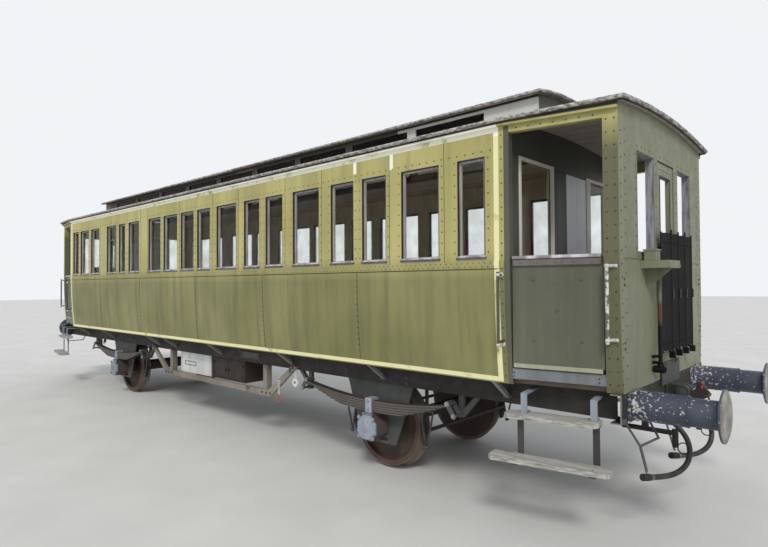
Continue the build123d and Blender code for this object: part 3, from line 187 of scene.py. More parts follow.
def add_rod(shape, start, end, radius, sides=16, end_radius=None, face=Matrix()):
    """A round bar, or a cone, between two points on a face's axes."""
    start, end = face @ Vector(start), face @ Vector(end)
    turn = (end - start).to_track_quat("Z", "Y").to_matrix().to_4x4()
    bmesh.ops.create_cone(
        shape,
        cap_ends=True,
        segments=sides,
        radius1=radius,
        radius2=radius if end_radius is None else end_radius,
        depth=(end - start).length,
        matrix=Matrix.Translation((start + end) / 2) @ turn,
    )


hose_rubber, place = new_finish("hose_rubber", 0.55)
dust = patches(place, 12.0, 0.4, 0.7, 6.0)
give(hose_rubber, "Base Color", over(dust, (0.012, 0.012, 0.013), (0.05, 0.048, 0.045)))
rough_face(hose_rubber, patches(place, 90.0, 0.35, 0.65), 0.001, 0.5)
clamp_steel = mottled(
    "clamp_steel", 0.45, (0.22, 0.21, 0.20), (0.16, 0.08, 0.045), 25.0, 0.45, 0.6, 6.0, metallic=0.7
)
headstock_face = 5.925
hose_width = 0.042
hose_route = [
    # forward of the headstock, across from the cock, height
    (0.120, 0.000, 0.860),
    (0.210, -0.002, 0.785),
    (0.260, -0.025, 0.665),
    (0.255, -0.100, 0.560),
    (0.205, -0.215, 0.505),
    (0.140, -0.360, 0.500),
    (0.085, -0.495, 0.520),
]
clamps = bmesh.new()
for end, way in (("near", 1), ("far", -1)):
    for side, cock in (("left", -0.33), ("right", 0.40)):
        line = [Vector((way * (headstock_face + x), way * (cock + y), z)) for x, y, z in hose_route]
        curve = bpy.data.curves.new(f"brake_hose_{end}_{side}", "CURVE")
        curve.dimensions = "3D"
        curve.bevel_depth = hose_width / 2
        curve.bevel_resolution = 6
        curve.resolution_u = 10
        curve.use_fill_caps = True
        spline = curve.splines.new("NURBS")
        spline.points.add(len(line) - 1)
        for point, corner in zip(spline.points, line):
            point.co = (*corner, 1)
        spline.order_u = 3
        spline.use_endpoint_u = True
        curve.materials.append(hose_rubber)
        hose = new_object(f"brake_hose_{end}_{side}", curve)
        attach(hose, "coach")
        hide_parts("brake_hoses")
        for start, after in ((line[0], line[1]), (line[-1], line[-2])):
            inward = (after - start).normalized()
            add_rod(clamps, start + 0.012 * inward, start + 0.034 * inward, hose_width / 2 + 0.003, 24)
keep("hose_clamps", clamps, clamp_steel)


# Side panels and their frames: steel sheets painted yellow-green, faded by the sun and streaked
# by rain. A pale yellow line is painted round each saloon side.
def times(first, second):
    return reckon("MULTIPLY", first, second)


def on_axis(place, axis):
    return add_node(place, "SeparateXYZ", {0: place}).node.outputs[axis]


def from_middle(place, axis):
    """How far a place lies from the coach's middle along an axis, to either side."""
    return reckon("ABSOLUTE", on_axis(place, axis))


def between(value, low, high, edge=0.002):
    """A mask that is 1 where the value lies between low and high."""
    return times(ramp(value, low - edge, low + edge), ramp(value, high - edge, high + edge, 1.0, 0.0))


def weathered(place, paint, faded, dirt, streak=0.5):
    """Paint that is faded in patches, streaked downwards and dirty in spots."""
    colour = over(patches(place, 0.9, 0.38, 0.68, 6.0), paint, faded)
    runs = patches(place, 1.0, 0.42, 0.75, 7.0, (9, 9, 0.5))
    colour = over(times(runs, streak), colour, dirt)
    return over(times(patches(place, 38.0, 0.35, 0.75, 4.0), 0.16), colour, faded)


def planking(place):
    """The varnished boards that line the saloon, with upright grain."""
    return over(patches(place, 1.0, 0.3, 0.7, 8.0, (50, 50, 2.5)), (0.50, 0.42, 0.27), (0.74, 0.65, 0.46))


def uneven_shine(finish, mask, low, high):
    """Roughness that runs from low to high over a mask."""
    give(finish, "Roughness", ramp(mask, 0.0, 1.0, low, high))


def buckled(finish, place, depth=0.004):
    """The slow waves of a thin sheet between its rivets."""
    rough_face(finish, patches(place, 3.0, 0.2, 0.8, 3.0), depth, 0.35)


def dress(finish, *names):
    """Give CAD nodes a finish."""
    for name in names:
        solids[name].data.materials.clear()
        solids[name].data.materials.append(finish)


waist = 2.143
saloon_end = 5.008
line_foot = (1.196, 1.236)
line_head = (3.283, 3.333)
line_tones = ((0.66, 0.64, 0.46), (0.93, 0.92, 0.80))
line_wear = (5.0, 0.28, 0.42, 8.0)
side_paint, place = new_finish("side_paint", 0.55)
height = on_axis(place, "Z")
far = from_middle(place, "X")
upper = weathered(place, (0.40, 0.365, 0.13), (0.53, 0.48, 0.20), (0.20, 0.19, 0.085), 0.45)
lower = weathered(place, (0.185, 0.185, 0.068), (0.27, 0.26, 0.105), (0.085, 0.085, 0.042), 0.6)
colour = over(ramp(height, 2.05, 2.30), lower, upper)
# below the waist the side leans in by about 0.063 of the drop's square
drop = reckon("MINIMUM", reckon("SUBTRACT", height, waist), 0.0)
depth = reckon("ADD", from_middle(place, "Y"), times(times(drop, drop), 0.063))
colour = over(between(depth, -1.0, 1.262), colour, planking(place))
reveal = times(between(depth, 1.262, 1.3165), between(height, 2.239, 3.11))
colour = over(reveal, colour, (0.40, 0.395, 0.40))
level = reckon("MAXIMUM", between(height, *line_head), between(height, *line_foot))
level = times(level, between(far, -1.0, saloon_end))
upright = times(between(far, 4.960, saloon_end), between(height, line_foot[0], line_head[1]))
line = times(reckon("MAXIMUM", level, upright), between(depth, 1.30, 2.0))
line_tone = over(between(height, 3.25, 3.40), (0.84, 0.80, 0.46), line_tones[1])
colour = over(times(line, patches(place, *line_wear)), colour, line_tone)
give(side_paint, "Base Color", colour)
uneven_shine(side_paint, patches(place, 2.5, 0.3, 0.7), 0.42, 0.68)
buckled(side_paint, place)
dress(side_paint, "side_wall_left", "side_wall_right", "belt_rails")
line_paint = mottled("line_paint", 0.5, *line_tones, *line_wear)

# Rivets and seams of the sides: the sheets are riveted to the frame in rows round each window,
# along the belt and beside the joints between sheets, which have filled with dirt. A dark strip
# under the belt is painted shadow of the belt.
belt_top = 2.205
window_sill = 2.238
window_head = 3.098
saloon_half_length = 5.055
saloon_half_width = 1.320
end_wall_face = 5.930
taper = math.atan2(0.157, 0.875)
side_windows = [
    # middle and width of each, along the coach
    (-4.740, 0.300),
    (-4.270, 0.430),
    (-3.735, 0.405),
    (-2.973, 0.405),
    (-2.515, 0.260),
    (-2.040, 0.410),
    (-1.276, 0.420),
    (-0.741, 0.440),
    (-0.220, 0.380),
    (0.244, 0.350),
    (0.831, 0.480),
    (1.426, 0.340),
    (1.897, 0.340),
    (2.495, 0.465),
    (3.100, 0.355),
    (3.569, 0.335),
    (4.162, 0.455),
    (4.733, 0.285),
]
upper_seams = (-3.492, -1.782, -1.523, -0.456, 0.485, 1.131, 2.120, 2.776, 3.783, 4.447)
lower_seams = (-3.503, -1.812, 0.013, 1.658, 3.326)


def lean(height):
    """How far the side has leaned in at a height below the waist."""
    turn_under = 7.9408
    drop = max(waist - height, 0)
    return turn_under - math.sqrt(turn_under**2 - drop**2)


def face_axes(along, outward, origin):
    """Axes on an upright face: along it, out of it and up."""
    turn = Matrix((along, outward, (0, 0, 1))).transposed().to_4x4()
    return Matrix.Translation(origin) @ turn


side_face = face_axes((1, 0, 0), (0, 1, 0), (0, saloon_half_width, 0))
platform_face = face_axes(
    (math.cos(taper), -math.sin(taper), 0),
    (math.sin(taper), math.cos(taper), 0),
    (saloon_half_length, saloon_half_width, 0),
)
end_face = face_axes((0, 1, 0), (1, 0, 0), (end_wall_face, 0, 0))


def add_rivet(shape, face, along, height, out=0.0, radius=0.008, proud=0.004):
    """A six-sided rivet head on a face; out is how far the face stands out there."""
    out -= lean(height) if face is not end_face else 0
    foot, top = (along, out - 0.001, height), (along, out + proud, height)
    add_rod(shape, foot, top, radius, 6, 0.6 * radius, face)


def add_row(shape, face, start, step, count, **head):
    """A row of rivets; start and step are distances along the face and up it."""
    for number in range(count):
        along, height = (first + number * pitch for first, pitch in zip(start, step))
        add_rivet(shape, face, along, height, **head)


def around(middle, half):
    return middle - half, middle + half


def add_box(shape, x, y, z, edge=0.0, face=Matrix(), cuts=0):
    """A block between pairs of lowest and highest x, y and z on a face's axes, edges softened."""
    middle = [(low + high) / 2 for low, high in (x, y, z)]
    size = [high - low for low, high in (x, y, z)]
    place = face @ Matrix.Translation(middle) @ Matrix.Diagonal((*size, 1))
    made = bmesh.ops.create_cube(shape, size=1, matrix=place)["verts"]
    edges = list({line for corner in made for line in corner.link_edges})
    if cuts:
        upright = [line for line in edges if abs((line.verts[0].co - line.verts[1].co).z) > 0.9 * size[2]]
        bmesh.ops.subdivide_edges(shape, edges=upright, cuts=cuts, use_grid_fill=True)
    if edge:
        bmesh.ops.bevel(
            shape, geom=edges, offset=edge, offset_type="OFFSET", segments=2, profile=0.5,
            affect="EDGES", material=-1,
        )


def everything(shape):
    return shape.verts[:] + shape.edges[:] + shape.faces[:]


def to_other_side(*shapes):
    """Repeat what is built so far on the other side of the coach."""
    for shape in shapes:
        bmesh.ops.mirror(shape, geom=everything(shape), matrix=Matrix(), merge_dist=0, axis="Y")


def turn_round(shape, points):
    """Turn points of a shape half round, to the coach's other end."""
    bmesh.ops.rotate(shape, verts=points, matrix=Matrix.Rotation(math.pi, 3, "Z"))


def to_far_end(*shapes):
    """Repeat what is built so far at the other end, turned half round."""
    for shape in shapes:
        copied = bmesh.ops.duplicate(shape, geom=everything(shape))["geom"]
        turn_round(shape, [item for item in copied if isinstance(item, bmesh.types.BMVert)])


side_rivets = bmesh.new()
for middle, width in side_windows:
    for edge in around(middle, width / 2 + 0.030):
        add_row(side_rivets, side_face, (edge, window_sill + 0.045), (0, 0.1), 9)
add_row(side_rivets, side_face, (-4.930, window_head + 0.042), (0.085, 0), 117)
add_row(side_rivets, side_face, (-4.959, waist + 0.016), (0.058, 0), 172, out=0.008, radius=0.006)
add_row(side_rivets, side_face, (-4.988, belt_top - 0.014), (0.058, 0), 172, out=0.008, radius=0.006)
for seam in lower_seams:
    add_row(side_rivets, side_face, (seam - 0.012, 1.27), (0, 0.06), 15)
for along in (-5.033, 5.033):
    add_row(side_rivets, side_face, (along, 1.25), (0, 0.1), 21)
to_other_side(side_rivets)
rivet_paint = mottled("rivet_paint", 0.6, (0.022, 0.020, 0.012), (0.085, 0.078, 0.038), 14.0, 0.4, 0.6)
keep("side_rivets", side_rivets, rivet_paint)
seams = bmesh.new()
for seam in upper_seams:
    add_box(seams, around(seam, 0.0022), (-0.004, 0.0012), (belt_top, line_head[0]), face=side_face)
for seam in lower_seams:
    add_box(seams, around(seam, 0.0022), (-0.004, 0.0012), (line_foot[1], waist), face=side_face, cuts=8)
# a dark strip just under the belt: painted shadow of the belt
add_box(seams, (-4.985, 4.985), (-0.004, 0.002), (waist - 0.007, waist), face=side_face)
for corner in seams.verts:
    corner.co.y -= lean(corner.co.z)
line_marks = bmesh.new()
for mark, foot in ((3.302, 3.162), (3.811, 3.134)):
    add_box(line_marks, around(mark, 0.022), (-0.004, 0.0014), (foot, 3.284), face=side_face)
to_other_side(seams, line_marks)
# dark dirt of the seams, joints and holes, also the painted shadow under the belt
seam_dirt_and_shade = mottled("seam_dirt_and_shade", 0.9, (0.018, 0.016, 0.010), (0.055, 0.048, 0.028), 9.0, 0.4, 0.6)
keep("side_seams", seams, seam_dirt_and_shade)
keep("line_marks", line_marks, line_paint)

# Side window sills: pale painted wood under each sash, with a darker strip of zinc before it.
# Black beads line the pane at its sides and along its head: painted shade of the gap round the inset sash.
sill_paint = mottled(
    "sill_paint", 0.6, (0.62, 0.60, 0.64), (0.24, 0.22, 0.24), 11.0, 0.42, 0.62, 8.0, relief=(0.001, 0.5)
)
sill_zinc = mottled(
    "sill_zinc", 0.45, (0.09, 0.085, 0.12), (0.17, 0.16, 0.19), 20.0, 0.4, 0.6, 6.0, metallic=0.6
)
# black beads that stand in for the shadow in the gap round each inset sash
dark_bead_shade = mottled(
    "dark_bead_shade", 0.7, (0.012, 0.012, 0.012), (0.035, 0.034, 0.032), 16.0, 0.4, 0.6
)
sill_heights = (window_sill + 0.001, window_sill + 0.020)
drip_heights = (window_sill - 0.012, window_sill + 0.006)
bead_heights = (window_sill + 0.020, window_head - 0.008)
head_heights = (window_head - 0.008, window_head - 0.001)
sills, drips, beads = bmesh.new(), bmesh.new(), bmesh.new()
for middle, width in side_windows:
    inner, outer = around(middle, width / 2 - 0.001)
    add_box(sills, (inner, outer), (-0.024, -0.003), sill_heights, 0.004, side_face)
    add_box(drips, (inner - 0.012, outer + 0.012), (-0.003, 0.010), drip_heights, 0.003, side_face)
    for edge in (inner, outer - 0.006):
        add_box(beads, (edge, edge + 0.006), (-0.024, -0.001), bead_heights, 0, side_face)
    add_box(beads, (inner, outer), (-0.024, -0.001), head_heights, 0, side_face)
to_other_side(sills, drips, beads)
keep("side_sills", sills, sill_paint)
keep("sill_drips", drips, sill_zinc)
keep("window_shade_beads", beads, dark_bead_shade)


# Open platforms: riveted corner posts, painted with the side along their headers and darker below
# them with painted shade, with the end on their outer faces, and the rails between them.
def pitted(finish, place, scale=60.0, depth=0.0015, strength=0.6, detail=5.0):
    """The small pits of cast, rusted or thickly painted metal."""
    rough_face(finish, patches(place, scale, 0.3, 0.7, detail), depth, strength)


def painted_metal(name, paint, faded, dirt, rust, roughness, streak=0.5):
    """Painted metal; rust is the share of the surface that has rusted through."""
    finish, place = new_finish(name, roughness)
    edge = 0.72 - 0.3 * rust
    spots = patches(place, 7.0, edge, edge + 0.05, 9.0)
    tone = over(patches(place, 30.0, 0.3, 0.7), (0.070, 0.036, 0.022), (0.15, 0.075, 0.045))
    give(finish, "Base Color", over(spots, weathered(place, paint, faded, dirt, streak), tone))
    uneven_shine(finish, patches(place, 9.0, 0.3, 0.7), roughness - 0.12, roughness + 0.15)
    pitted(finish, place)
    return finish


header_tones = ((0.36, 0.335, 0.12), (0.48, 0.44, 0.19), (0.2, 0.19, 0.085), 0.4)
end_tones = ((0.185, 0.195, 0.125), (0.255, 0.262, 0.18), (0.10, 0.105, 0.07))
rail_and_header_paint, place = new_finish("rail_and_header_paint", 0.55)
beam = weathered(place, (0.14, 0.15, 0.17), (0.24, 0.255, 0.28), (0.07, 0.07, 0.07), 0.7)
header = between(on_axis(place, "Z"), 2.0, 4.0)
give(rail_and_header_paint, "Base Color", over(header, beam, weathered(place, *header_tones)))
dress(rail_and_header_paint, "platform_rails")
post_paint, place = new_finish("post_paint", 0.55)
far = from_middle(place, "X")
# below their headers the posts are darker olive: painted shade
shaded = weathered(place, (0.115, 0.115, 0.060), (0.165, 0.162, 0.085), (0.07, 0.068, 0.04))
colour = over(ramp(on_axis(place, "Z"), 3.02, 3.26), shaded, weathered(place, *header_tones))
dark = weathered(place, (0.075, 0.08, 0.055), (0.12, 0.125, 0.085), (0.05, 0.05, 0.035), 0.4)
colour = over(between(far, 5.0, 5.3), colour, dark)
colour = over(between(far, 5.9285, 6.0, 0.0005), colour, weathered(place, *end_tones))
give(post_paint, "Base Color", colour)
buckled(post_paint, place)
dress(post_paint, "platform_posts")
post_rivets = bmesh.new()
for along in (0.803, 0.862):
    add_row(post_rivets, platform_face, (along, 1.25), (0, 0.1), 21)
add_row(post_rivets, platform_face, (0.11, 3.292), (0.1, 0), 7)
for along in (0.075, 0.735):
    for height in (1.292, 1.262):
        add_rivet(post_rivets, platform_face, along, height, out=lean(1.233) - 0.004)
to_other_side(post_rivets)
to_far_end(post_rivets)
keep("post_rivets", post_rivets, rivet_paint)


# Half doors of the platforms: a dark sheet, its darkness partly painted shade, with small raised studs
# and a cream strip along its foot, closed at the top by a pale sill and a dark bolted strip.
def keep_parts(door, *parts, swapped=False):
    """Keep a door's parts, built for the near end and, where it has two, for the right side."""
    for name, shape, finish in parts:
        if swapped:
            bmesh.ops.scale(shape, verts=shape.verts[:], vec=(1, -1, 1))
        if "far" in door:
            turn_round(shape, shape.verts[:])
        keep(f"{door}_{name}", shape, finish, body=door)


# the doors' dark grey-olive is partly their own paint and partly painted shade of the recessed doors
door_paint = painted_metal(
    "door_paint", (0.085, 0.09, 0.06), (0.13, 0.135, 0.09), (0.05, 0.052, 0.038), 0.05, 0.55
)
foot_paint = painted_metal(
    "foot_paint", (0.32, 0.32, 0.215), (0.43, 0.425, 0.31), (0.14, 0.135, 0.10), 0.0, 0.5
)
rail_strip_paint = painted_metal(
    "rail_strip_paint", (0.12, 0.10, 0.095), (0.20, 0.18, 0.18), (0.05, 0.045, 0.04), 0.25, 0.55
)
half_door_face = platform_face @ Matrix.Translation((0, -0.038, 0))
door_width = (0.060, 0.755)
door_studs = [(0.225, 2.045), (0.605, 2.045), (0.415, 1.800), (0.225, 1.560), (0.605, 1.560)]
for end in ("near", "far"):
    for side in ("right", "left"):
        ledge, strip, studs, foot = (bmesh.new() for part in range(4))
        add_box(ledge, door_width, (-0.040, 0.030), (2.214, 2.240), 0.006, half_door_face)
        add_box(foot, door_width, (-0.002, 0.005), (1.328, 1.362), 0.002, half_door_face)
        add_box(strip, door_width, (-0.002, 0.020), (2.156, 2.212), 0.008, half_door_face)
        for step in range(5):
            along = 0.130 + 0.14 * step
            add_rod(strip, (along, 0.018, 2.184), (along, 0.025, 2.184), 0.010, 10, 0.007, half_door_face)
        for along, height in door_studs:
            ends = ((along, -0.001, height), (along, 0.008, height))
            add_rod(studs, *ends, 0.013, 12, 0.008, half_door_face)
        door = f"half_door_{end}_{side}"
        dress(door_paint, door)
        keep_parts(
            door,
            ("ledge", ledge, sill_paint),
            ("strip", strip, rail_strip_paint),
            ("studs", studs, door_paint),
            ("foot", foot, foot_paint),
            # a half turn also swaps the sides, so the far end's parts start from the other one
            swapped=(side == "left") != (end == "far"),
        )

# End walls: grey-green sheets on a wooden frame, riveted along the posts and round the windows.
# The seam below these has filled unevenly with dirt, and the lamp shelf carries a lidded box.
end_paint = painted_metal("end_paint", *end_tones, 0.06, 0.6)
dress(end_paint, "end_walls", "end_door_near", "end_door_far", "lamp_shelves")
end_rivets = bmesh.new()
end_seams = bmesh.new()
seam_shifts = (0.0, 0.004, -0.003, 0.005, 0.001, -0.004, 0.003, -0.001, 0.004, 0.0)
for side in (-1, 1):
    add_row(end_rivets, end_face, (side * 1.118, 1.26), (0, 0.1), 20)
    add_row(end_rivets, end_face, (side * 1.035, 1.29), (0, 0.1), 20)
    for along in (0.797, 0.288):
        add_row(end_rivets, end_face, (side * along, 2.29), (0, 0.093), 9)
    for height in (3.112, 2.228):
        add_row(end_rivets, end_face, (side * 0.36, height), (side * 0.097, 0), 5)
    for height in (1.52, 1.565, 2.00, 2.045):
        add_rivet(end_rivets, end_face, side * 1.075, height, radius=0.012, proud=0.008)
    for step, shift in enumerate(seam_shifts):
        strip = sorted((side * (0.285 + 0.078 * step), side * (0.365 + 0.078 * step)))
        add_box(end_seams, strip, (-0.004, 0.0014), around(2.203 + shift, 0.002), face=end_face)
add_row(end_rivets, end_face, (-0.15, 3.112), (0.1, 0), 4)
shelf_boxes = bmesh.new()
add_box(shelf_boxes, (-0.690, -0.585), (0.020, 0.115), (2.183, 2.275), 0.006, end_face)
add_box(shelf_boxes, (-0.696, -0.579), (0.014, 0.121), (2.268, 2.284), 0.004, end_face)
for across in (-0.690, -0.430):
    add_rod(shelf_boxes, (across, 0.19, 2.150), (across, 0.222, 2.150), 0.009, 6, face=end_face)
to_far_end(end_rivets, end_seams, shelf_boxes)
keep("end_rivets", end_rivets, rivet_paint)
keep("end_seams", end_seams, seam_dirt_and_shade)
keep("shelf_boxes", shelf_boxes, end_paint)


# Reveals of the end windows: pale grey boards that line each opening, with a thin bead of the
# end's own paint round it outside.
def wider(strip, more):
    return strip[0] - more, strip[1] + more


def add_frame(shape, x, y, z, upright, rail, edge, face=Matrix()):
    """Two uprights as high as z and two rails between them; upright and rail are their widths."""
    for strip in ((x[0], x[0] + upright), (x[1] - upright, x[1])):
        add_box(shape, strip, y, z, edge, face)
    for strip in ((z[0], z[0] + rail), (z[1] - rail, z[1])):
        add_box(shape, wider(x, -upright), y, strip, edge, face)


end_window_heights = (2.259, 3.078)
reveals, trims = bmesh.new(), bmesh.new()
for opening in ((0.337, 0.768), (-0.768, -0.337)):
    add_frame(reveals, opening, (-0.068, -0.004), end_window_heights, 0.010, 0.010, 0.002, end_face)
    outline = wider(opening, 0.004), (-0.003, 0.003), wider(end_window_heights, 0.004)
    add_frame(trims, *outline, 0.010, 0.010, 0.001, end_face)
to_far_end(reveals, trims)
reveal_paint = mottled(
    "reveal_paint", 0.6, (0.30, 0.30, 0.34), (0.11, 0.11, 0.12), 1.0, 0.4, 0.62, 7.0, (30, 30, 5)
)
keep("end_window_reveals", reveals, reveal_paint)
keep("end_window_trims", trims, end_paint)

# Centre doors: a raised frame round the sheet, a glazing bead round the open light, and a lever
# handle of steel near the free edge.
latch_metal = painted_metal(
    "latch_metal", (0.60, 0.59, 0.56), (0.70, 0.69, 0.66), (0.20, 0.19, 0.17), 0.12, 0.4
)
door_sheet = end_face @ Matrix.Translation((0, -0.012, 0))
for end in ("near", "far"):
    beads, strips, lever = bmesh.new(), bmesh.new(), bmesh.new()
    add_frame(beads, (-0.151, 0.152), (-0.002, 0.004), (2.247, 2.960), 0.012, 0.012, 0.0015, door_sheet)
    strip_depth = (-0.002, 0.003)
    for along in ((-0.222, -0.180), (0.180, 0.222)):
        add_box(strips, along, strip_depth, (1.325, 3.055), 0.001, door_sheet)
    for heights in ((1.325, 1.400), (3.010, 3.055), (2.130, 2.205)):
        add_box(strips, (-0.180, 0.180), strip_depth, heights, 0.001, door_sheet)
    for out, radius, sides in ((0.008, 0.022, 20), (0.010, 0.009, 12)):
        add_rod(lever, (-0.201, 0, 2.02), (-0.201, out, 2.02), radius, sides, face=door_sheet)
    parts = ("beads", beads, dark_bead_shade), ("frame", strips, end_paint), ("lever", lever, latch_metal)
    keep_parts(f"end_door_{end}", *parts)


# Gangway gate and post: folded black sheets stiffened by round bars of uneven height, hooked
# together at the foot. The round post across the doorway turns in a cap at its foot.
def add_bent_rod(shape, route, radius, sides=10, face=Matrix()):
    """A round bar bent through a row of points on a face's axes."""
    route = [face @ Vector(point) for point in route]
    heading = route[1] - route[0]
    turn = heading.to_track_quat("Z", "Y")
    rings = []
    for number, point in enumerate(route):
        before = route[max(number - 1, 0)]
        after = route[min(number + 1, len(route) - 1)]
        turn = heading.rotation_difference(after - before) @ turn
        heading = after - before
        place = Matrix.Translation(point) @ turn.to_matrix().to_4x4()
        ring = bmesh.ops.create_circle(shape, segments=sides, radius=radius, matrix=place)["verts"]
        rings.append(list({edge for corner in ring for edge in corner.link_edges}))
    bmesh.ops.edgeloop_fill(shape, edges=rings[0])
    bmesh.ops.edgeloop_fill(shape, edges=rings[-1])
    for ring, following in zip(rings, rings[1:]):
        bmesh.ops.bridge_loops(shape, edges=ring + following)


gate_paint, place = new_finish("gate_paint", 0.3)
height = on_axis(place, "Z")
colour = weathered(place, (0.004, 0.004, 0.005), (0.011, 0.011, 0.013), (0.016, 0.015, 0.014))
on_post = between(times(on_axis(place, "X"), on_axis(place, "Y")), -9.0, -2.3)
pale = weathered(place, (0.13, 0.13, 0.11), (0.20, 0.20, 0.17), (0.06, 0.05, 0.04))
colour = over(times(on_post, between(height, 1.83, 3.0, 0.02)), colour, pale)
colour = over(times(on_post, between(height, 1.68, 1.86, 0.03)), colour, (0.10, 0.048, 0.028))
give(gate_paint, "Base Color", colour)
uneven_shine(gate_paint, patches(place, 9.0, 0.3, 0.7), 0.36, 0.6)
give(gate_paint, "Specular IOR Level", 0.22)
pitted(gate_paint, place, depth=0.0012, strength=0.5)
dress(gate_paint, "gangway_gates")
gate_bars = bmesh.new()
fold_width = 0.10375
gate_folds = [-0.290 + fold_width * number for number in range(9)]
bar_tops = (2.452, 2.470, 2.446, 2.462, 2.448, 2.474, 2.444, 2.458, 2.450)
for number, (across, top) in enumerate(zip(gate_folds, bar_tops)):
    out, foot = (0.088, 1.428) if number % 2 else (0.036, 1.415)
    add_rod(gate_bars, (across, out, foot), (across, out, top), 0.0075, 8, face=end_face)
for number in range(4):
    across = -0.186 + 2 * fold_width * number
    add_box(gate_bars, around(across, 0.016), (0.060, 0.112), (1.372, 1.430), 0.006, end_face)
    add_box(gate_bars, (across - 0.006, across + 0.030), (0.092, 0.100), (1.880, 1.960), 0.003, end_face)
for height in (1.50, 2.36):
    wire = [(across, 0.094 if number % 2 else 0.042, height) for number, across in enumerate(gate_folds)]
    add_bent_rod(gate_bars, wire, 0.004, 6, end_face)
post_across = -0.440
for start, end, radius, sides in (
    # the gate post's foot cap, its bracket and bolt, and the ring at its head
    ((0.062, 1.292), (0.062, 1.352), 0.027, 20),
    ((0.010, 1.300), (0.098, 1.300), 0.030, 20),
    ((0.098, 1.300), (0.106, 1.300), 0.018, 6),
    ((0.062, 2.118), (0.062, 2.126), 0.021, 20),
):
    add_rod(gate_bars, (post_across, *start), (post_across, *end), radius, sides, face=end_face)
add_box(gate_bars, around(post_across, 0.030), (0.0, 0.045), (1.395, 1.415), 0.004, end_face)
to_far_end(gate_bars)
keep("gate_bars", gate_bars, gate_paint)

# Bulkheads: planked walls, dark towards the platforms, with painted wooden architraves there, and
# two pale panels over the upper part of each door, nearer to one edge of it.
bulkhead_paint, place = new_finish("bulkhead_paint", 0.5)
outside = weathered(place, (0.050, 0.052, 0.040), (0.085, 0.088, 0.068), (0.03, 0.03, 0.024))
colour = over(between(from_middle(place, "X"), 5.021, 6.0), planking(place), outside)
give(bulkhead_paint, "Base Color", colour)
buckled(bulkhead_paint, place, 0.003)
dress(bulkhead_paint, "bulkheads", "bulkhead_door_near", "bulkhead_door_far")
cream_paint = painted_metal(
    "cream_paint", (0.70, 0.67, 0.58), (0.80, 0.78, 0.70), (0.42, 0.38, 0.30), 0.0, 0.5, 0.25
)
panel_paint = painted_metal(
    "panel_paint", (0.78, 0.80, 0.86), (0.85, 0.87, 0.91), (0.50, 0.50, 0.52), 0.0, 0.45, 0.2
)
bulkhead_face = face_axes((0, 1, 0), (1, 0, 0), (saloon_half_length, 0, 0))
window_heights = (window_sill, window_head)
architraves = bmesh.new()
for side in (-1, 1):
    opening = sorted((side * 0.430, side * 1.050))
    outline = wider(opening, 0.018), (-0.001, 0.012), wider(window_heights, 0.018)
    add_frame(architraves, *outline, 0.032, 0.032, 0.002, bulkhead_face)
    for edge in (opening[0], opening[1] - 0.008):
        add_box(architraves, (edge, edge + 0.008), (-0.018, -0.001), window_heights, 0.001, bulkhead_face)
jamb_heights = (1.302, window_head + 0.018)
add_box(architraves, (0.3415, 0.412), (-0.001, 0.014), jamb_heights, 0.002, bulkhead_face)
to_far_end(architraves)
keep("bulkhead_architraves", architraves, cream_paint)
for end in ("near", "far"):
    panels, board = bmesh.new(), bmesh.new()
    for along in ((-0.127, 0.1025), (0.1055, 0.335)):
        add_box(panels, along, (-0.001, 0.006), (2.240, 3.090), 0.002, bulkhead_face)
    add_box(board, (-0.2185, -0.100), (-0.020, -0.001), (2.240, 2.966), 0.002, bulkhead_face)
    parts = ("panels", panels, panel_paint), ("board", board, bulkhead_paint)
    keep_parts(f"bulkhead_door_{end}", *parts)

# Handrails: dark round bars, peeled white at the near end, with round white knobs on the rails
# and flat feet screwed to the posts.
rail_paint, place = new_finish("rail_paint", 0.5)
dark = weathered(place, (0.055, 0.055, 0.04), (0.10, 0.10, 0.075), (0.03, 0.03, 0.025))
peeled = patches(place, 22.0, 0.46, 0.52, 8.0)
pale = over(peeled, (0.62, 0.61, 0.57), (0.13, 0.12, 0.10))
give(rail_paint, "Base Color", over(between(on_axis(place, "X"), 5.4, 7.0), dark, pale))
rough_face(rail_paint, peeled, 0.0012, 0.6)
dress(rail_paint, "handrails")
fixings = bmesh.new()


def add_knob(shape, middle, radius, face):
    place = Matrix.Translation(face @ Vector(middle))
    bmesh.ops.create_uvsphere(shape, u_segments=16, v_segments=10, radius=radius, matrix=place)


for height in (1.513, 2.088):
    out = -lean(height)
    add_knob(fixings, (5.028, 0.060, height), 0.0175, side_face)
    foot, top = (5.028, out + 0.003, height), (5.028, out + 0.010, height)
    add_rod(fixings, foot, top, 0.021, 16, face=side_face)
rail_along = math.hypot(0.875, 0.157) - 0.081
for height in (1.588, 2.143):
    out = -lean(height)
    add_knob(fixings, (rail_along, 0.060, height), 0.0185, platform_face)
    plate = (rail_along - 0.014, rail_along + 0.066), (out + 0.001, out + 0.009), around(height, 0.013)
    add_box(fixings, *plate, 0.003, platform_face)
    arm = (rail_along, 0.050, height), (rail_along + 0.050, out + 0.008, height)
    add_rod(fixings, *arm, 0.008, 12, face=platform_face)
    add_knob(fixings, (rail_along + 0.052, out + 0.010, height), 0.0125, platform_face)
to_other_side(fixings)
to_far_end(fixings)
keep("handrail_fixings", fixings, latch_metal, smooth=True)

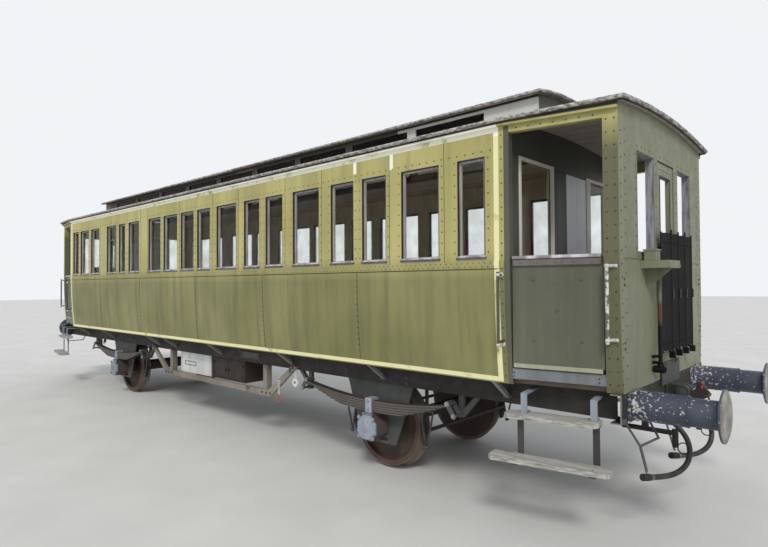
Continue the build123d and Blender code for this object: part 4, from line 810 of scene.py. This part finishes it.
# Clerestory sides: boards and sheets painted white at the near end and dark brown further back.
# The eaves shade their upper edge, and their ends are dark.
clerestory_paint, place = new_finish("clerestory_paint", 0.65)
white_tone = weathered(place, (0.62, 0.62, 0.58), (0.72, 0.72, 0.68), (0.32, 0.31, 0.28), 0.3)
brown_tone = over(patches(place, 1.3, 0.56, 0.62, 2.0), (0.060, 0.050, 0.042), (0.20, 0.145, 0.10))
tone = over(between(on_axis(place, "X"), 3.30, 6.0), brown_tone, white_tone)
tone = over(between(on_axis(place, "Z"), 3.746, 4.0), tone, (0.035, 0.029, 0.024))
end_tone = weathered(place, (0.075, 0.070, 0.060), (0.13, 0.12, 0.105), (0.04, 0.037, 0.032))
inner = times(between(from_middle(place, "X"), 4.97, 6.0), between(from_middle(place, "Y"), -1.0, 0.599))
give(clerestory_paint, "Base Color", over(inner, tone, end_tone))
pitted(clerestory_paint, place, 40.0)
dress(clerestory_paint, "clerestory_walls")

# Roof covering: felt and canvas under many coats of grey paint, dusty and stained along the
# edges, laid over boards that show from below.
roof_covering, place = new_finish("roof_covering", 0.85)
colour = over(patches(place, 1.6, 0.35, 0.65, 8.0), (0.085, 0.078, 0.070), (0.17, 0.16, 0.145))
stain = patches(place, 6.0, 0.45, 0.7, 6.0, (1, 0.3, 1))
colour = over(times(stain, 0.6), colour, (0.045, 0.04, 0.036))
normal = add_node(place, "NewGeometry").node.outputs["Normal"]
underneath = between(on_axis(normal, "Z"), -2.0, -0.5, 0.05)
boards = reckon("PINGPONG", times(on_axis(place, "Y"), 9.5), 1.0)
joints = between(boards, -1.0, 0.035, 0.012)
wood = patches(place, 1.0, 0.3, 0.7, 8.0, (2.5, 50, 50))
wood = over(wood, (0.30, 0.245, 0.20), (0.50, 0.43, 0.37))
wood = over(between(from_middle(place, "X"), -1.0, 4.99), wood, (0.68, 0.58, 0.46))
wood = over(joints, wood, (0.03, 0.025, 0.02))
give(roof_covering, "Base Color", over(underneath, colour, wood))
pitted(roof_covering, place, 24.0, 0.004, 0.7, 7.0)
dress(roof_covering, "main_roof", "clerestory_roof")

# Eave rails under the roof's edge: painted with the side along their lower half, while their dark,
# grained upper half is painted shadow under the roof's edge. The painted line of the side runs on over
# them.
eave_paint_and_shade, place = new_finish("eave_paint_and_shade", 0.75)
worn = patches(place, 1.0, 0.35, 0.65, 8.0, (3, 40, 40))
painted_eave_shadow = over(worn, (0.018, 0.015, 0.012), (0.060, 0.050, 0.040))
line = over(patches(place, *line_wear), *line_tones)
painted = over(between(from_middle(place, "X"), -1.0, saloon_end), weathered(place, *header_tones), line)
# upper half: painted shadow under the roof's edge; lower half: the side's paint and line
give(eave_paint_and_shade, "Base Color", over(between(on_axis(place, "Z"), 3.0, 3.339), painted_eave_shadow, painted))
rough_face(eave_paint_and_shade, worn, 0.002, 0.6)
dress(eave_paint_and_shade, "eave_rails")


# Roof edges: the covering is rolled over a half-round wooden bead, bleached grey, and nailed
# down under it along a dark batten, whose black is partly painted shade under the bead. The clerestory
# roof ends in the same way.
def arch(across, crown, radius):
    """Height of a roof's arch at a distance from the middle."""
    return crown - radius + math.sqrt(radius**2 - across**2)


main_arch = (3.443, 10.4)
lantern_arch = (3.865, 3.4388)
bead_radius = 0.0175
roof_edge = [(0.0, 1.365), (2.5, 1.365), (5.055, 1.365), (5.985, 1.208)]
edge_line = [(x, y + 0.003, arch(y, *main_arch) + 0.017) for x, y in roof_edge]
end_line = [(5.988, y, arch(y, *main_arch) + 0.016) for y in (1.208, 1.0, 0.8, 0.6, 0.4, 0.2, 0.0)]
roof_beads, battens, lantern_beads = bmesh.new(), bmesh.new(), bmesh.new()
for line in (edge_line, end_line):
    add_bent_rod(roof_beads, line, bead_radius)
add_bent_rod(battens, [(x, y - 0.012, z - 0.019) for x, y, z in edge_line], 0.010, 6)
add_bent_rod(battens, [(x - 0.012, y, z - 0.018) for x, y, z in end_line], 0.010, 6)
add_bent_rod(lantern_beads, [(x, 0.702, 3.775) for x in (0.0, 2.5, 5.07)], bead_radius)
lantern_end = [(5.072, y, arch(y, *lantern_arch) - 0.018) for y in (0.70, 0.5, 0.3, 0.1, 0.0)]
add_bent_rod(lantern_beads, lantern_end, bead_radius)
to_other_side(roof_beads, battens, lantern_beads)
to_far_end(roof_beads, battens, lantern_beads)
roof_bead = mottled(
    "roof_bead", 0.85, (0.17, 0.16, 0.15), (0.52, 0.51, 0.49), 1.0, 0.4, 0.6, 9.0, (26, 9, 60),
    relief=(0.003, 0.8),
)
# the batten's near-black is partly its own dark wood and partly painted shade under the roof's edge
roof_batten = mottled("roof_batten", 0.9, (0.020, 0.017, 0.014), (0.06, 0.05, 0.04), 5.0, 0.4, 0.6, 6.0)
keep("roof_beads", roof_beads, roof_bead, smooth=True)
keep("lantern_beads", lantern_beads, roof_bead, smooth=True)
keep("roof_battens", battens, roof_batten)


# Woodwork: bleached step boards, worn floor boards, varnished seats and painted sashes, each
# with its grain along the length of its boards.
def grained(name, roughness, pale, dark, grain, relief):
    """Wood; grain is the stretch of its pattern, small along the boards."""
    finish, place = new_finish(name, roughness)
    lines = patches(place, 1.0, 0.3, 0.7, 9.0, grain)
    colour = over(times(patches(place, 4.0, 0.35, 0.65), 0.35), over(lines, dark, pale), dark)
    give(finish, "Base Color", colour)
    rough_face(finish, lines, relief, 0.8)
    return finish


step_wood = grained("step_wood", 0.85, (0.60, 0.59, 0.56), (0.19, 0.18, 0.16), (3, 70, 70), 0.004)
floor_wood = grained("floor_wood", 0.8, (0.22, 0.18, 0.14), (0.09, 0.07, 0.05), (2, 40, 40), 0.002)
seat_wood = grained("seat_wood", 0.4, (0.36, 0.19, 0.08), (0.16, 0.075, 0.03), (30, 2, 30), 0.0008)
sash_wood = grained("sash_wood", 0.6, (0.50, 0.495, 0.48), (0.23, 0.22, 0.21), (40, 40, 3), 0.001)
dress(step_wood, "step_boards")
dress(floor_wood, "floor_deck")
dress(seat_wood, "bench_seats", "bench_backs")
dress(sash_wood, "window_sashes")

# Window panes: clear glass with years of dust on it. The lights of the clerestory are nearly
# black with soot.
pane_glass, place = new_finish("pane_glass", 0.06)
dust = patches(place, 4.0, 0.35, 0.8, 7.0)
clear = over(dust, (0.93, 0.96, 0.96), (0.72, 0.72, 0.68))
sooty = over(dust, (0.085, 0.075, 0.062), (0.16, 0.14, 0.115))
give(pane_glass, "Base Color", over(between(on_axis(place, "Z"), 3.4, 4.0), clear, sooty))
uneven_shine(pane_glass, dust, 0.02, 0.10)
give(pane_glass, "Transmission Weight", 1.0)
give(pane_glass, "IOR", 1.12)
dress(pane_glass, "window_glass")

# Underframe: rolled steel bars and castings under old black paint, with rust and brake dust. The
# guides, shackles and fall plates are a little greyer, and the body brackets pale.
frame_paint = painted_metal(
    "frame_paint", (0.015, 0.014, 0.013), (0.036, 0.032, 0.029), (0.026, 0.020, 0.016), 0.14, 0.7
)
dress(frame_paint, "sole_bars", "headstocks", "cross_members", "brake_gear", "draw_gear")
dress(frame_paint, "air_reservoir", "hinge_lugs", "end_pipes", "hose_heads")
guard_paint = painted_metal(
    "guard_paint", (0.050, 0.055, 0.055), (0.095, 0.10, 0.10), (0.035, 0.03, 0.028), 0.15, 0.6
)
dress(guard_paint, "horn_guides", "spring_shackles", "fall_plate_near", "fall_plate_far")
bracket_paint = painted_metal(
    "bracket_paint", (0.17, 0.17, 0.155), (0.30, 0.30, 0.27), (0.06, 0.058, 0.05), 0.10, 0.6
)
dress(bracket_paint, "body_brackets")
grip_paint = painted_metal(
    "grip_paint", (0.06, 0.063, 0.07), (0.12, 0.125, 0.135), (0.035, 0.03, 0.028), 0.12, 0.5
)
dress(grip_paint, "grip_handles")


# Wheels and axles: dark discs, rusty rims and worn treads of rolled steel. The joint between tyre
# and disc shows as a ring, and a clip ring holds the tyre on.
def add_ring(shape, middle, axis, radius, bar, steps, sides):
    """A round ring of round bar about an axis."""
    middle, axis = Vector(middle), Vector(axis)
    turn = axis.to_track_quat("Z", "Y").to_matrix().to_4x4()
    section = Matrix.Translation((radius, 0, 0)) @ Matrix.Rotation(math.pi / 2, 4, "X")
    place = Matrix.Translation(middle) @ turn @ section
    ring = bmesh.ops.create_circle(shape, segments=sides, radius=bar, matrix=place)["verts"]
    edges = list({edge for corner in ring for edge in corner.link_edges})
    bmesh.ops.spin(
        shape, geom=ring + edges, cent=middle, axis=axis, angle=2 * math.pi, steps=steps, use_merge=True
    )


axle_offset = 3.275
axle_height = 0.498
lengthwise, sideways = (1, 0, 0), (0, 1, 0)
wheel_paint, place = new_finish("wheel_paint", 0.7)
from_axle = reckon("SUBTRACT", from_middle(place, "X"), axle_offset)
above_axle = reckon("SUBTRACT", on_axis(place, "Z"), axle_height)
reach = reckon("SQRT", reckon("ADD", times(from_axle, from_axle), times(above_axle, above_axle)))
disc = weathered(place, (0.035, 0.024, 0.019), (0.075, 0.052, 0.040), (0.02, 0.015, 0.012))
rim = weathered(place, (0.060, 0.031, 0.021), (0.11, 0.060, 0.042), (0.035, 0.022, 0.016))
tread = weathered(place, (0.13, 0.095, 0.078), (0.20, 0.165, 0.14), (0.06, 0.042, 0.033))
colour = over(between(reach, 0.462, 0.6), over(between(reach, 0.395, 0.462), disc, rim), tread)
give(wheel_paint, "Base Color", colour)
pitted(wheel_paint, place, 50.0)
dress(wheel_paint, "wheels_near", "wheels_far", "axle_near", "axle_far")
for end, axle in (("near", axle_offset), ("far", -axle_offset)):
    tyre_rings = bmesh.new()
    for side in (-1, 1):
        add_ring(tyre_rings, (axle, side * 0.8175, axle_height), sideways, 0.407, 0.004, 48, 6)
        add_ring(tyre_rings, (axle, side * 0.760, axle_height), sideways, 0.175, 0.006, 40, 6)
    keep(f"tyre_rings_{end}", tyre_rings, seam_dirt_and_shade, body=f"wheelset_{end}")


# Axleboxes and springs: cast boxes with pale blue-grey covers, and stacked steel leaves under a
# pale buckle. Hexagon bolts hold buckle and cover, and the spring's pins end in washers and nuts.
def add_bolt(shape, foot, out, radius, height):
    """A hexagon bolt head that stands on a face, with its washer."""
    foot, out = Vector(foot), Vector(out)
    add_rod(shape, foot - 0.001 * out, foot + 0.25 * height * out, 1.35 * radius, 16)
    add_rod(shape, foot, foot + height * out, radius, 6, 0.93 * radius)


axlebox_paint, place = new_finish("axlebox_paint", 0.55)
box_tone = weathered(place, (0.055, 0.042, 0.035), (0.11, 0.085, 0.07), (0.03, 0.024, 0.02))
cover_tone = weathered(place, (0.22, 0.27, 0.35), (0.36, 0.42, 0.50), (0.08, 0.085, 0.10))
speckle = patches(place, 55.0, 0.52, 0.60, 6.0)
cover_tone = over(times(speckle, 0.25), cover_tone, (0.10, 0.09, 0.085))
give(axlebox_paint, "Base Color", over(between(from_middle(place, "Y"), 1.1305, 2.0), box_tone, cover_tone))
pitted(axlebox_paint, place, depth=0.002, strength=0.7)
dress(axlebox_paint, "axleboxes")
leaf_thickness = 0.026
spring_paint, place = new_finish("spring_paint", 0.6)
along = from_middle(place, "X")
from_buckle = reckon("SUBTRACT", along, axle_offset)
leaf = reckon("SUBTRACT", on_axis(place, "Z"), times(times(from_buckle, from_buckle), 0.0824))
leaf = reckon("FRACT", times(leaf, 1 / leaf_thickness))
leaf_tone = weathered(place, (0.042, 0.037, 0.035), (0.098, 0.087, 0.081), (0.024, 0.020, 0.019))
# each leaf: a painted highlight along its upper part, and a dark band along its lower part that is partly
# the gap between leaves and partly painted shade
leaf_tone = over(times(between(leaf, 0.55, 0.95, 0.2), 0.6), leaf_tone, (0.15, 0.138, 0.130))
leaf_tone = over(times(between(leaf, 0.05, 0.40, 0.15), 0.7), leaf_tone, (0.016, 0.013, 0.011))
rust = patches(place, 9.0, 0.50, 0.62, 8.0, (0.4, 1, 3))
leaf_tone = over(times(rust, 0.35), leaf_tone, (0.12, 0.066, 0.044))
buckle_tone = weathered(place, (0.26, 0.31, 0.38), (0.42, 0.47, 0.54), (0.10, 0.11, 0.13))
give(spring_paint, "Base Color", over(between(along, 3.2295, 3.3205), leaf_tone, buckle_tone))
pitted(spring_paint, place)
dress(spring_paint, "springs")
running_bolts = bmesh.new()
for axle in (-axle_offset, axle_offset):
    for x, z in ((-0.100, -0.100), (-0.100, 0.100), (0.100, -0.100), (0.100, 0.100)):
        add_bolt(running_bolts, (axle + x, 1.150, axle_height + z), sideways, 0.017, 0.016)
    add_rod(running_bolts, (axle, 1.156, axle_height), (axle, 1.162, axle_height), 0.050, 24, 0.042)
    for height in (0.685, 0.775):
        add_bolt(running_bolts, (axle, 1.112, height), sideways, 0.013, 0.012)
    for x, z in ((-1.030, 0.884), (-1.105, 0.779), (1.030, 0.884), (1.105, 0.779)):
        add_bolt(running_bolts, (axle + x, 1.112, z), sideways, 0.019, 0.014)
to_other_side(running_bolts)
bolt_paint = painted_metal(
    "bolt_paint", (0.15, 0.16, 0.18), (0.40, 0.41, 0.43), (0.05, 0.045, 0.04), 0.25, 0.5
)
keep("running_gear_bolts", running_bolts, bolt_paint)

# Brake hangers: forged straps that meet under each block, with the pin that carries it. A second
# pin joins the two straps at the top.
hangers = bmesh.new()
for axle in (-axle_offset, axle_offset):
    for way in (-1, 1):
        from_wheel = Matrix.Translation((axle, 0, 0)) @ Matrix.Diagonal((way, 1, 1, 1))
        for top_x, middle_x in ((0.492, 0.498), (0.640, 0.610)):
            strap = ((top_x, 0.812, 0.700), (middle_x, 0.812, 0.560), (0.545, 0.812, 0.330))
            add_bent_rod(hangers, strap, 0.011, 8, from_wheel)
        add_rod(hangers, (0.548, 0.800, 0.322), (0.548, 0.832, 0.322), 0.020, 12, face=from_wheel)
        add_rod(hangers, (0.495, 0.812, 0.700), (0.640, 0.812, 0.700), 0.013, 8, face=from_wheel)
to_other_side(hangers)
keep("brake_hangers", hangers, guard_paint, smooth=True)

# Truss frames and sole bars: angle steel bolted at the joints, a blank plate, a white disc on a
# strap, and a red ring on a short chain that pulls the brake release.
truss_paint = painted_metal(
    "truss_paint", (0.17, 0.15, 0.125), (0.27, 0.25, 0.21), (0.07, 0.055, 0.045), 0.18, 0.65
)
dress(truss_paint, "truss_frames")
truss_bolts = bmesh.new()
for way in (-1, 1):
    for x, z in ((1.895, 0.983), (1.850, 0.955), (1.430, 0.606), (1.345, 0.606), (1.250, 0.606)):
        add_bolt(truss_bolts, (way * x, 1.040, z), sideways, 0.014, 0.012)
    for x in (1.268, 1.312):
        add_bolt(truss_bolts, (way * x, 1.0, 0.995), sideways, 0.011, 0.010)
for x in (-4.870, -3.600, -1.750, -1.150, 0.200, 1.850, 3.400, 4.890):
    for shift, height in ((0.032, 1.030), (-0.032, 1.010)):
        add_bolt(truss_bolts, (x + shift, 1.0, height), sideways, 0.011, 0.010)
for x in (-3.72, -2.83, 2.83, 3.72):
    for height in (1.000, 1.060):
        add_bolt(truss_bolts, (x, 1.0, height), sideways, 0.013, 0.010)
to_other_side(truss_bolts)
keep("underframe_bolts", truss_bolts, guard_paint)
plate = bmesh.new()
add_box(plate, (0.700, 1.130), (-1.004, -1.0), (1.012, 1.098), 0.001)
add_frame(plate, (0.700, 1.130), (-1.008, -1.003), (1.012, 1.098), 0.012, 0.010, 0.001)
keep("blank_plate", plate, guard_paint)
disc, disc_hole = bmesh.new(), bmesh.new()
disc_x, disc_height = 1.920, 0.803
add_box(disc, around(disc_x, 0.015), (-1.008, -1.0005), (0.800, 0.985), 0.001)
add_rod(disc, (disc_x, -1.007, disc_height), (disc_x, -1.022, disc_height), 0.057, 32, 0.055)
add_rod(disc_hole, (disc_x, -1.020, disc_height), (disc_x, -1.0235, disc_height), 0.015)
keep("white_disc", disc, latch_metal)
keep("disc_hole", disc_hole, seam_dirt_and_shade)
red_paint = painted_metal(
    "red_paint", (0.36, 0.035, 0.030), (0.50, 0.10, 0.085), (0.16, 0.03, 0.025), 0.12, 0.45
)
chain, pull = bmesh.new(), bmesh.new()
chain_x, chain_y = 1.640, -1.056
add_rod(chain, (chain_x, -1.040, 0.795), (chain_x, -1.062, 0.795), 0.007, 12)
add_ring(chain, (chain_x, chain_y, 0.778), lengthwise, 0.017, 0.004, 20, 6)
for link in range(5):
    axis = lengthwise if link % 2 else sideways
    add_ring(chain, (chain_x, chain_y, 0.752 - 0.027 * link), axis, 0.0155, 0.0035, 20, 6)
add_ring(pull, (chain_x, chain_y, 0.575), sideways, 0.046, 0.0065, 40, 10)
keep("release_chain", chain, latch_metal, smooth=True)
keep("release_ring", pull, red_paint, smooth=True)

# Battery box and equipment box: sheet steel, one pale with a pressed lid and a latch plate under
# it, the other dark with two framed doors on hinges and a catch on each.
battery_paint = painted_metal(
    "battery_paint", (0.55, 0.58, 0.58), (0.66, 0.68, 0.67), (0.22, 0.20, 0.17), 0.15, 0.6
)
dress(battery_paint, "battery_box")
battery_face = Matrix.Translation((0, -0.995, 0))
box_fittings, latch_plate, door_frame = bmesh.new(), bmesh.new(), bmesh.new()
add_box(box_fittings, (-1.023, -0.101), (-0.007, 0.004), (0.878, 0.886), 0.002, battery_face)
for strip in ((-1.010, -0.985), (-0.139, -0.114)):
    add_box(box_fittings, strip, (-0.005, 0.002), (0.660, 0.955), 0.002, battery_face)
keep("battery_box_fittings", box_fittings, battery_paint)
for heights in ((0.770, 0.778), (0.824, 0.832)):
    add_box(latch_plate, (-0.885, -0.541), (-0.006, 0.002), heights, 0.002, battery_face)
for strip in ((-0.885, -0.875), (-0.551, -0.541)):
    add_box(latch_plate, strip, (-0.006, 0.002), (0.778, 0.824), 0.002, battery_face)
keep("battery_box_latch", latch_plate, guard_paint)
equipment_paint = painted_metal(
    "equipment_paint", (0.016, 0.012, 0.010), (0.040, 0.028, 0.021), (0.018, 0.014, 0.012), 0.22, 0.7
)
dress(equipment_paint, "equipment_box")
equipment_face = Matrix.Translation((0, -0.985, 0))
strip_depth = (-0.006, 0.002)
for strip in ((-0.080, -0.055), (0.325, 0.350), (0.735, 0.760)):
    add_box(door_frame, strip, strip_depth, (0.668, 0.948), 0.002, equipment_face)
for heights in ((0.668, 0.690), (0.926, 0.948)):
    for strip in ((-0.055, 0.325), (0.350, 0.735)):
        add_box(door_frame, strip, strip_depth, heights, 0.002, equipment_face)
for x in (-0.035, 0.715):
    for height in (0.730, 0.880):
        foot, top = ((x, -0.008, end) for end in around(height, 0.022))
        add_rod(door_frame, foot, top, 0.008, 12, face=equipment_face)
for x in (0.300, 0.375):
    add_rod(door_frame, (x, 0.0, 0.805), (x, -0.020, 0.805), 0.010, 12, face=equipment_face)
    add_box(door_frame, around(x, 0.008), (-0.026, -0.018), (0.770, 0.815), 0.002, equipment_face)
keep("equipment_box_door", door_frame, equipment_paint)

# Buffers, draw hook and headstocks: blue-black castings, flaked near their feet and worn bright on
# their faces, with base bolts and a ring at each mouth. The hook has rings beside it and a red
# strip, and the channels show pale raw ends.
buffer_paint, place = new_finish("buffer_paint", 0.45)
far = from_middle(place, "X")
colour = weathered(place, (0.044, 0.054, 0.086), (0.088, 0.105, 0.156), (0.022, 0.023, 0.027))
flakes = add_node(place, "TexNoise", {"Vector": place, "Scale": 42.0, "Detail": 9.0})
flakes = ramp(reckon("ADD", flakes, ramp(far, 5.93, 6.2, 0.13, 0.025)), 0.665, 0.695)
colour = over(flakes, colour, (0.50, 0.50, 0.48))
steel = over(patches(place, 6.0, 0.3, 0.6, 8.0), (0.10, 0.082, 0.070), (0.32, 0.295, 0.27))
give(buffer_paint, "Base Color", over(between(far, 6.5405, 7.0, 0.004), colour, steel))
uneven_shine(buffer_paint, patches(place, 9.0, 0.3, 0.7), 0.36, 0.62)
rough_face(buffer_paint, flakes, 0.001, 0.5)
dress(buffer_paint, "buffer_casings", "buffer_heads")
buffer_height = 1.074
buffer_rings, headstock_bolts, channel_ends, hook_strip = (bmesh.new() for part in range(4))
for side in (-1, 1):
    middle = Vector((0, side * 0.875, buffer_height))
    for x, radius, bar in ((6.306, 0.1135, 0.005), (5.950, 0.115, 0.009), (6.120, 0.1135, 0.003)):
        add_ring(buffer_rings, middle + Vector((x, 0, 0)), lengthwise, radius, bar, 48, 8)
    for across in (-0.125, 0.125):
        for up in (-0.086, 0.086):
            add_bolt(headstock_bolts, middle + Vector((5.943, across, up)), lengthwise, 0.015, 0.014)
    for up in (-0.0765, 0.0765):
        add_bolt(headstock_bolts, (5.941, side * 0.085, buffer_height + up), lengthwise, 0.013, 0.012)
    for height in (0.990, 1.158):
        for across in (0.24, 0.48, 0.66, 1.08):
            add_bolt(headstock_bolts, (headstock_face, side * across, height), lengthwise, 0.011, 0.009)
    raw_end = sorted((side * 1.149, side * 1.1515))
    add_box(channel_ends, (5.914, 5.9255), raw_end, (0.962, 1.184))
    for heights in ((0.962, 0.972), (1.174, 1.184)):
        add_box(channel_ends, (5.841, 5.914), raw_end, heights)
    for reach, radius in ((0.060, 0.054), (0.068, 0.036), (0.074, 0.020)):
        pin = (6.055, side * 0.020, buffer_height), (6.055, side * reach, buffer_height)
        add_rod(headstock_bolts, *pin, radius, 32)
    add_box(hook_strip, (6.188, 6.206), sorted((side * 0.0225, side * 0.0265)), (1.105, 1.150), 0.001)
add_box(hook_strip, (6.188, 6.206), (-0.0265, 0.0265), (1.143, 1.163), 0.001)
to_far_end(buffer_rings, headstock_bolts, channel_ends, hook_strip)
keep("buffer_rings", buffer_rings, buffer_paint, smooth=True)
keep("headstock_bolts", headstock_bolts, guard_paint)
keep("channel_ends", channel_ends, bracket_paint)
keep("hook_strips", hook_strip, red_paint)

# Steps: flat iron hangers, black below and pale blue-grey above, and round-headed bolts through
# the boards into the irons below them.
step_iron_paint, place = new_finish("step_iron_paint", 0.55)
strap_tone = weathered(place, (0.20, 0.235, 0.29), (0.34, 0.38, 0.43), (0.07, 0.07, 0.08))
hanger_tone = weathered(place, (0.028, 0.027, 0.028), (0.060, 0.058, 0.055), (0.02, 0.018, 0.016))
give(step_iron_paint, "Base Color", over(between(on_axis(place, "Z"), 0.96, 1.3), hanger_tone, strap_tone))
pitted(step_iron_paint, place)
dress(step_iron_paint, "step_irons")
step_bolts = bmesh.new()
for alongs, outs, heights, radius in (
    # the upper board's bolts, then the lower board's
    ((0.177, 0.712), (-0.030, 0.012), (0.976, 0.9825), 0.012),
    ((0.130, 0.712), (0.055, 0.150), (0.648, 0.6555), 0.013),
):
    for along in alongs:
        for out in outs:
            foot, top = ((along, out, height) for height in heights)
            add_rod(step_bolts, foot, top, radius, 12, 0.006, platform_face)
to_other_side(step_bolts)
to_far_end(step_bolts)
keep("step_bolts", step_bolts, bolt_paint)
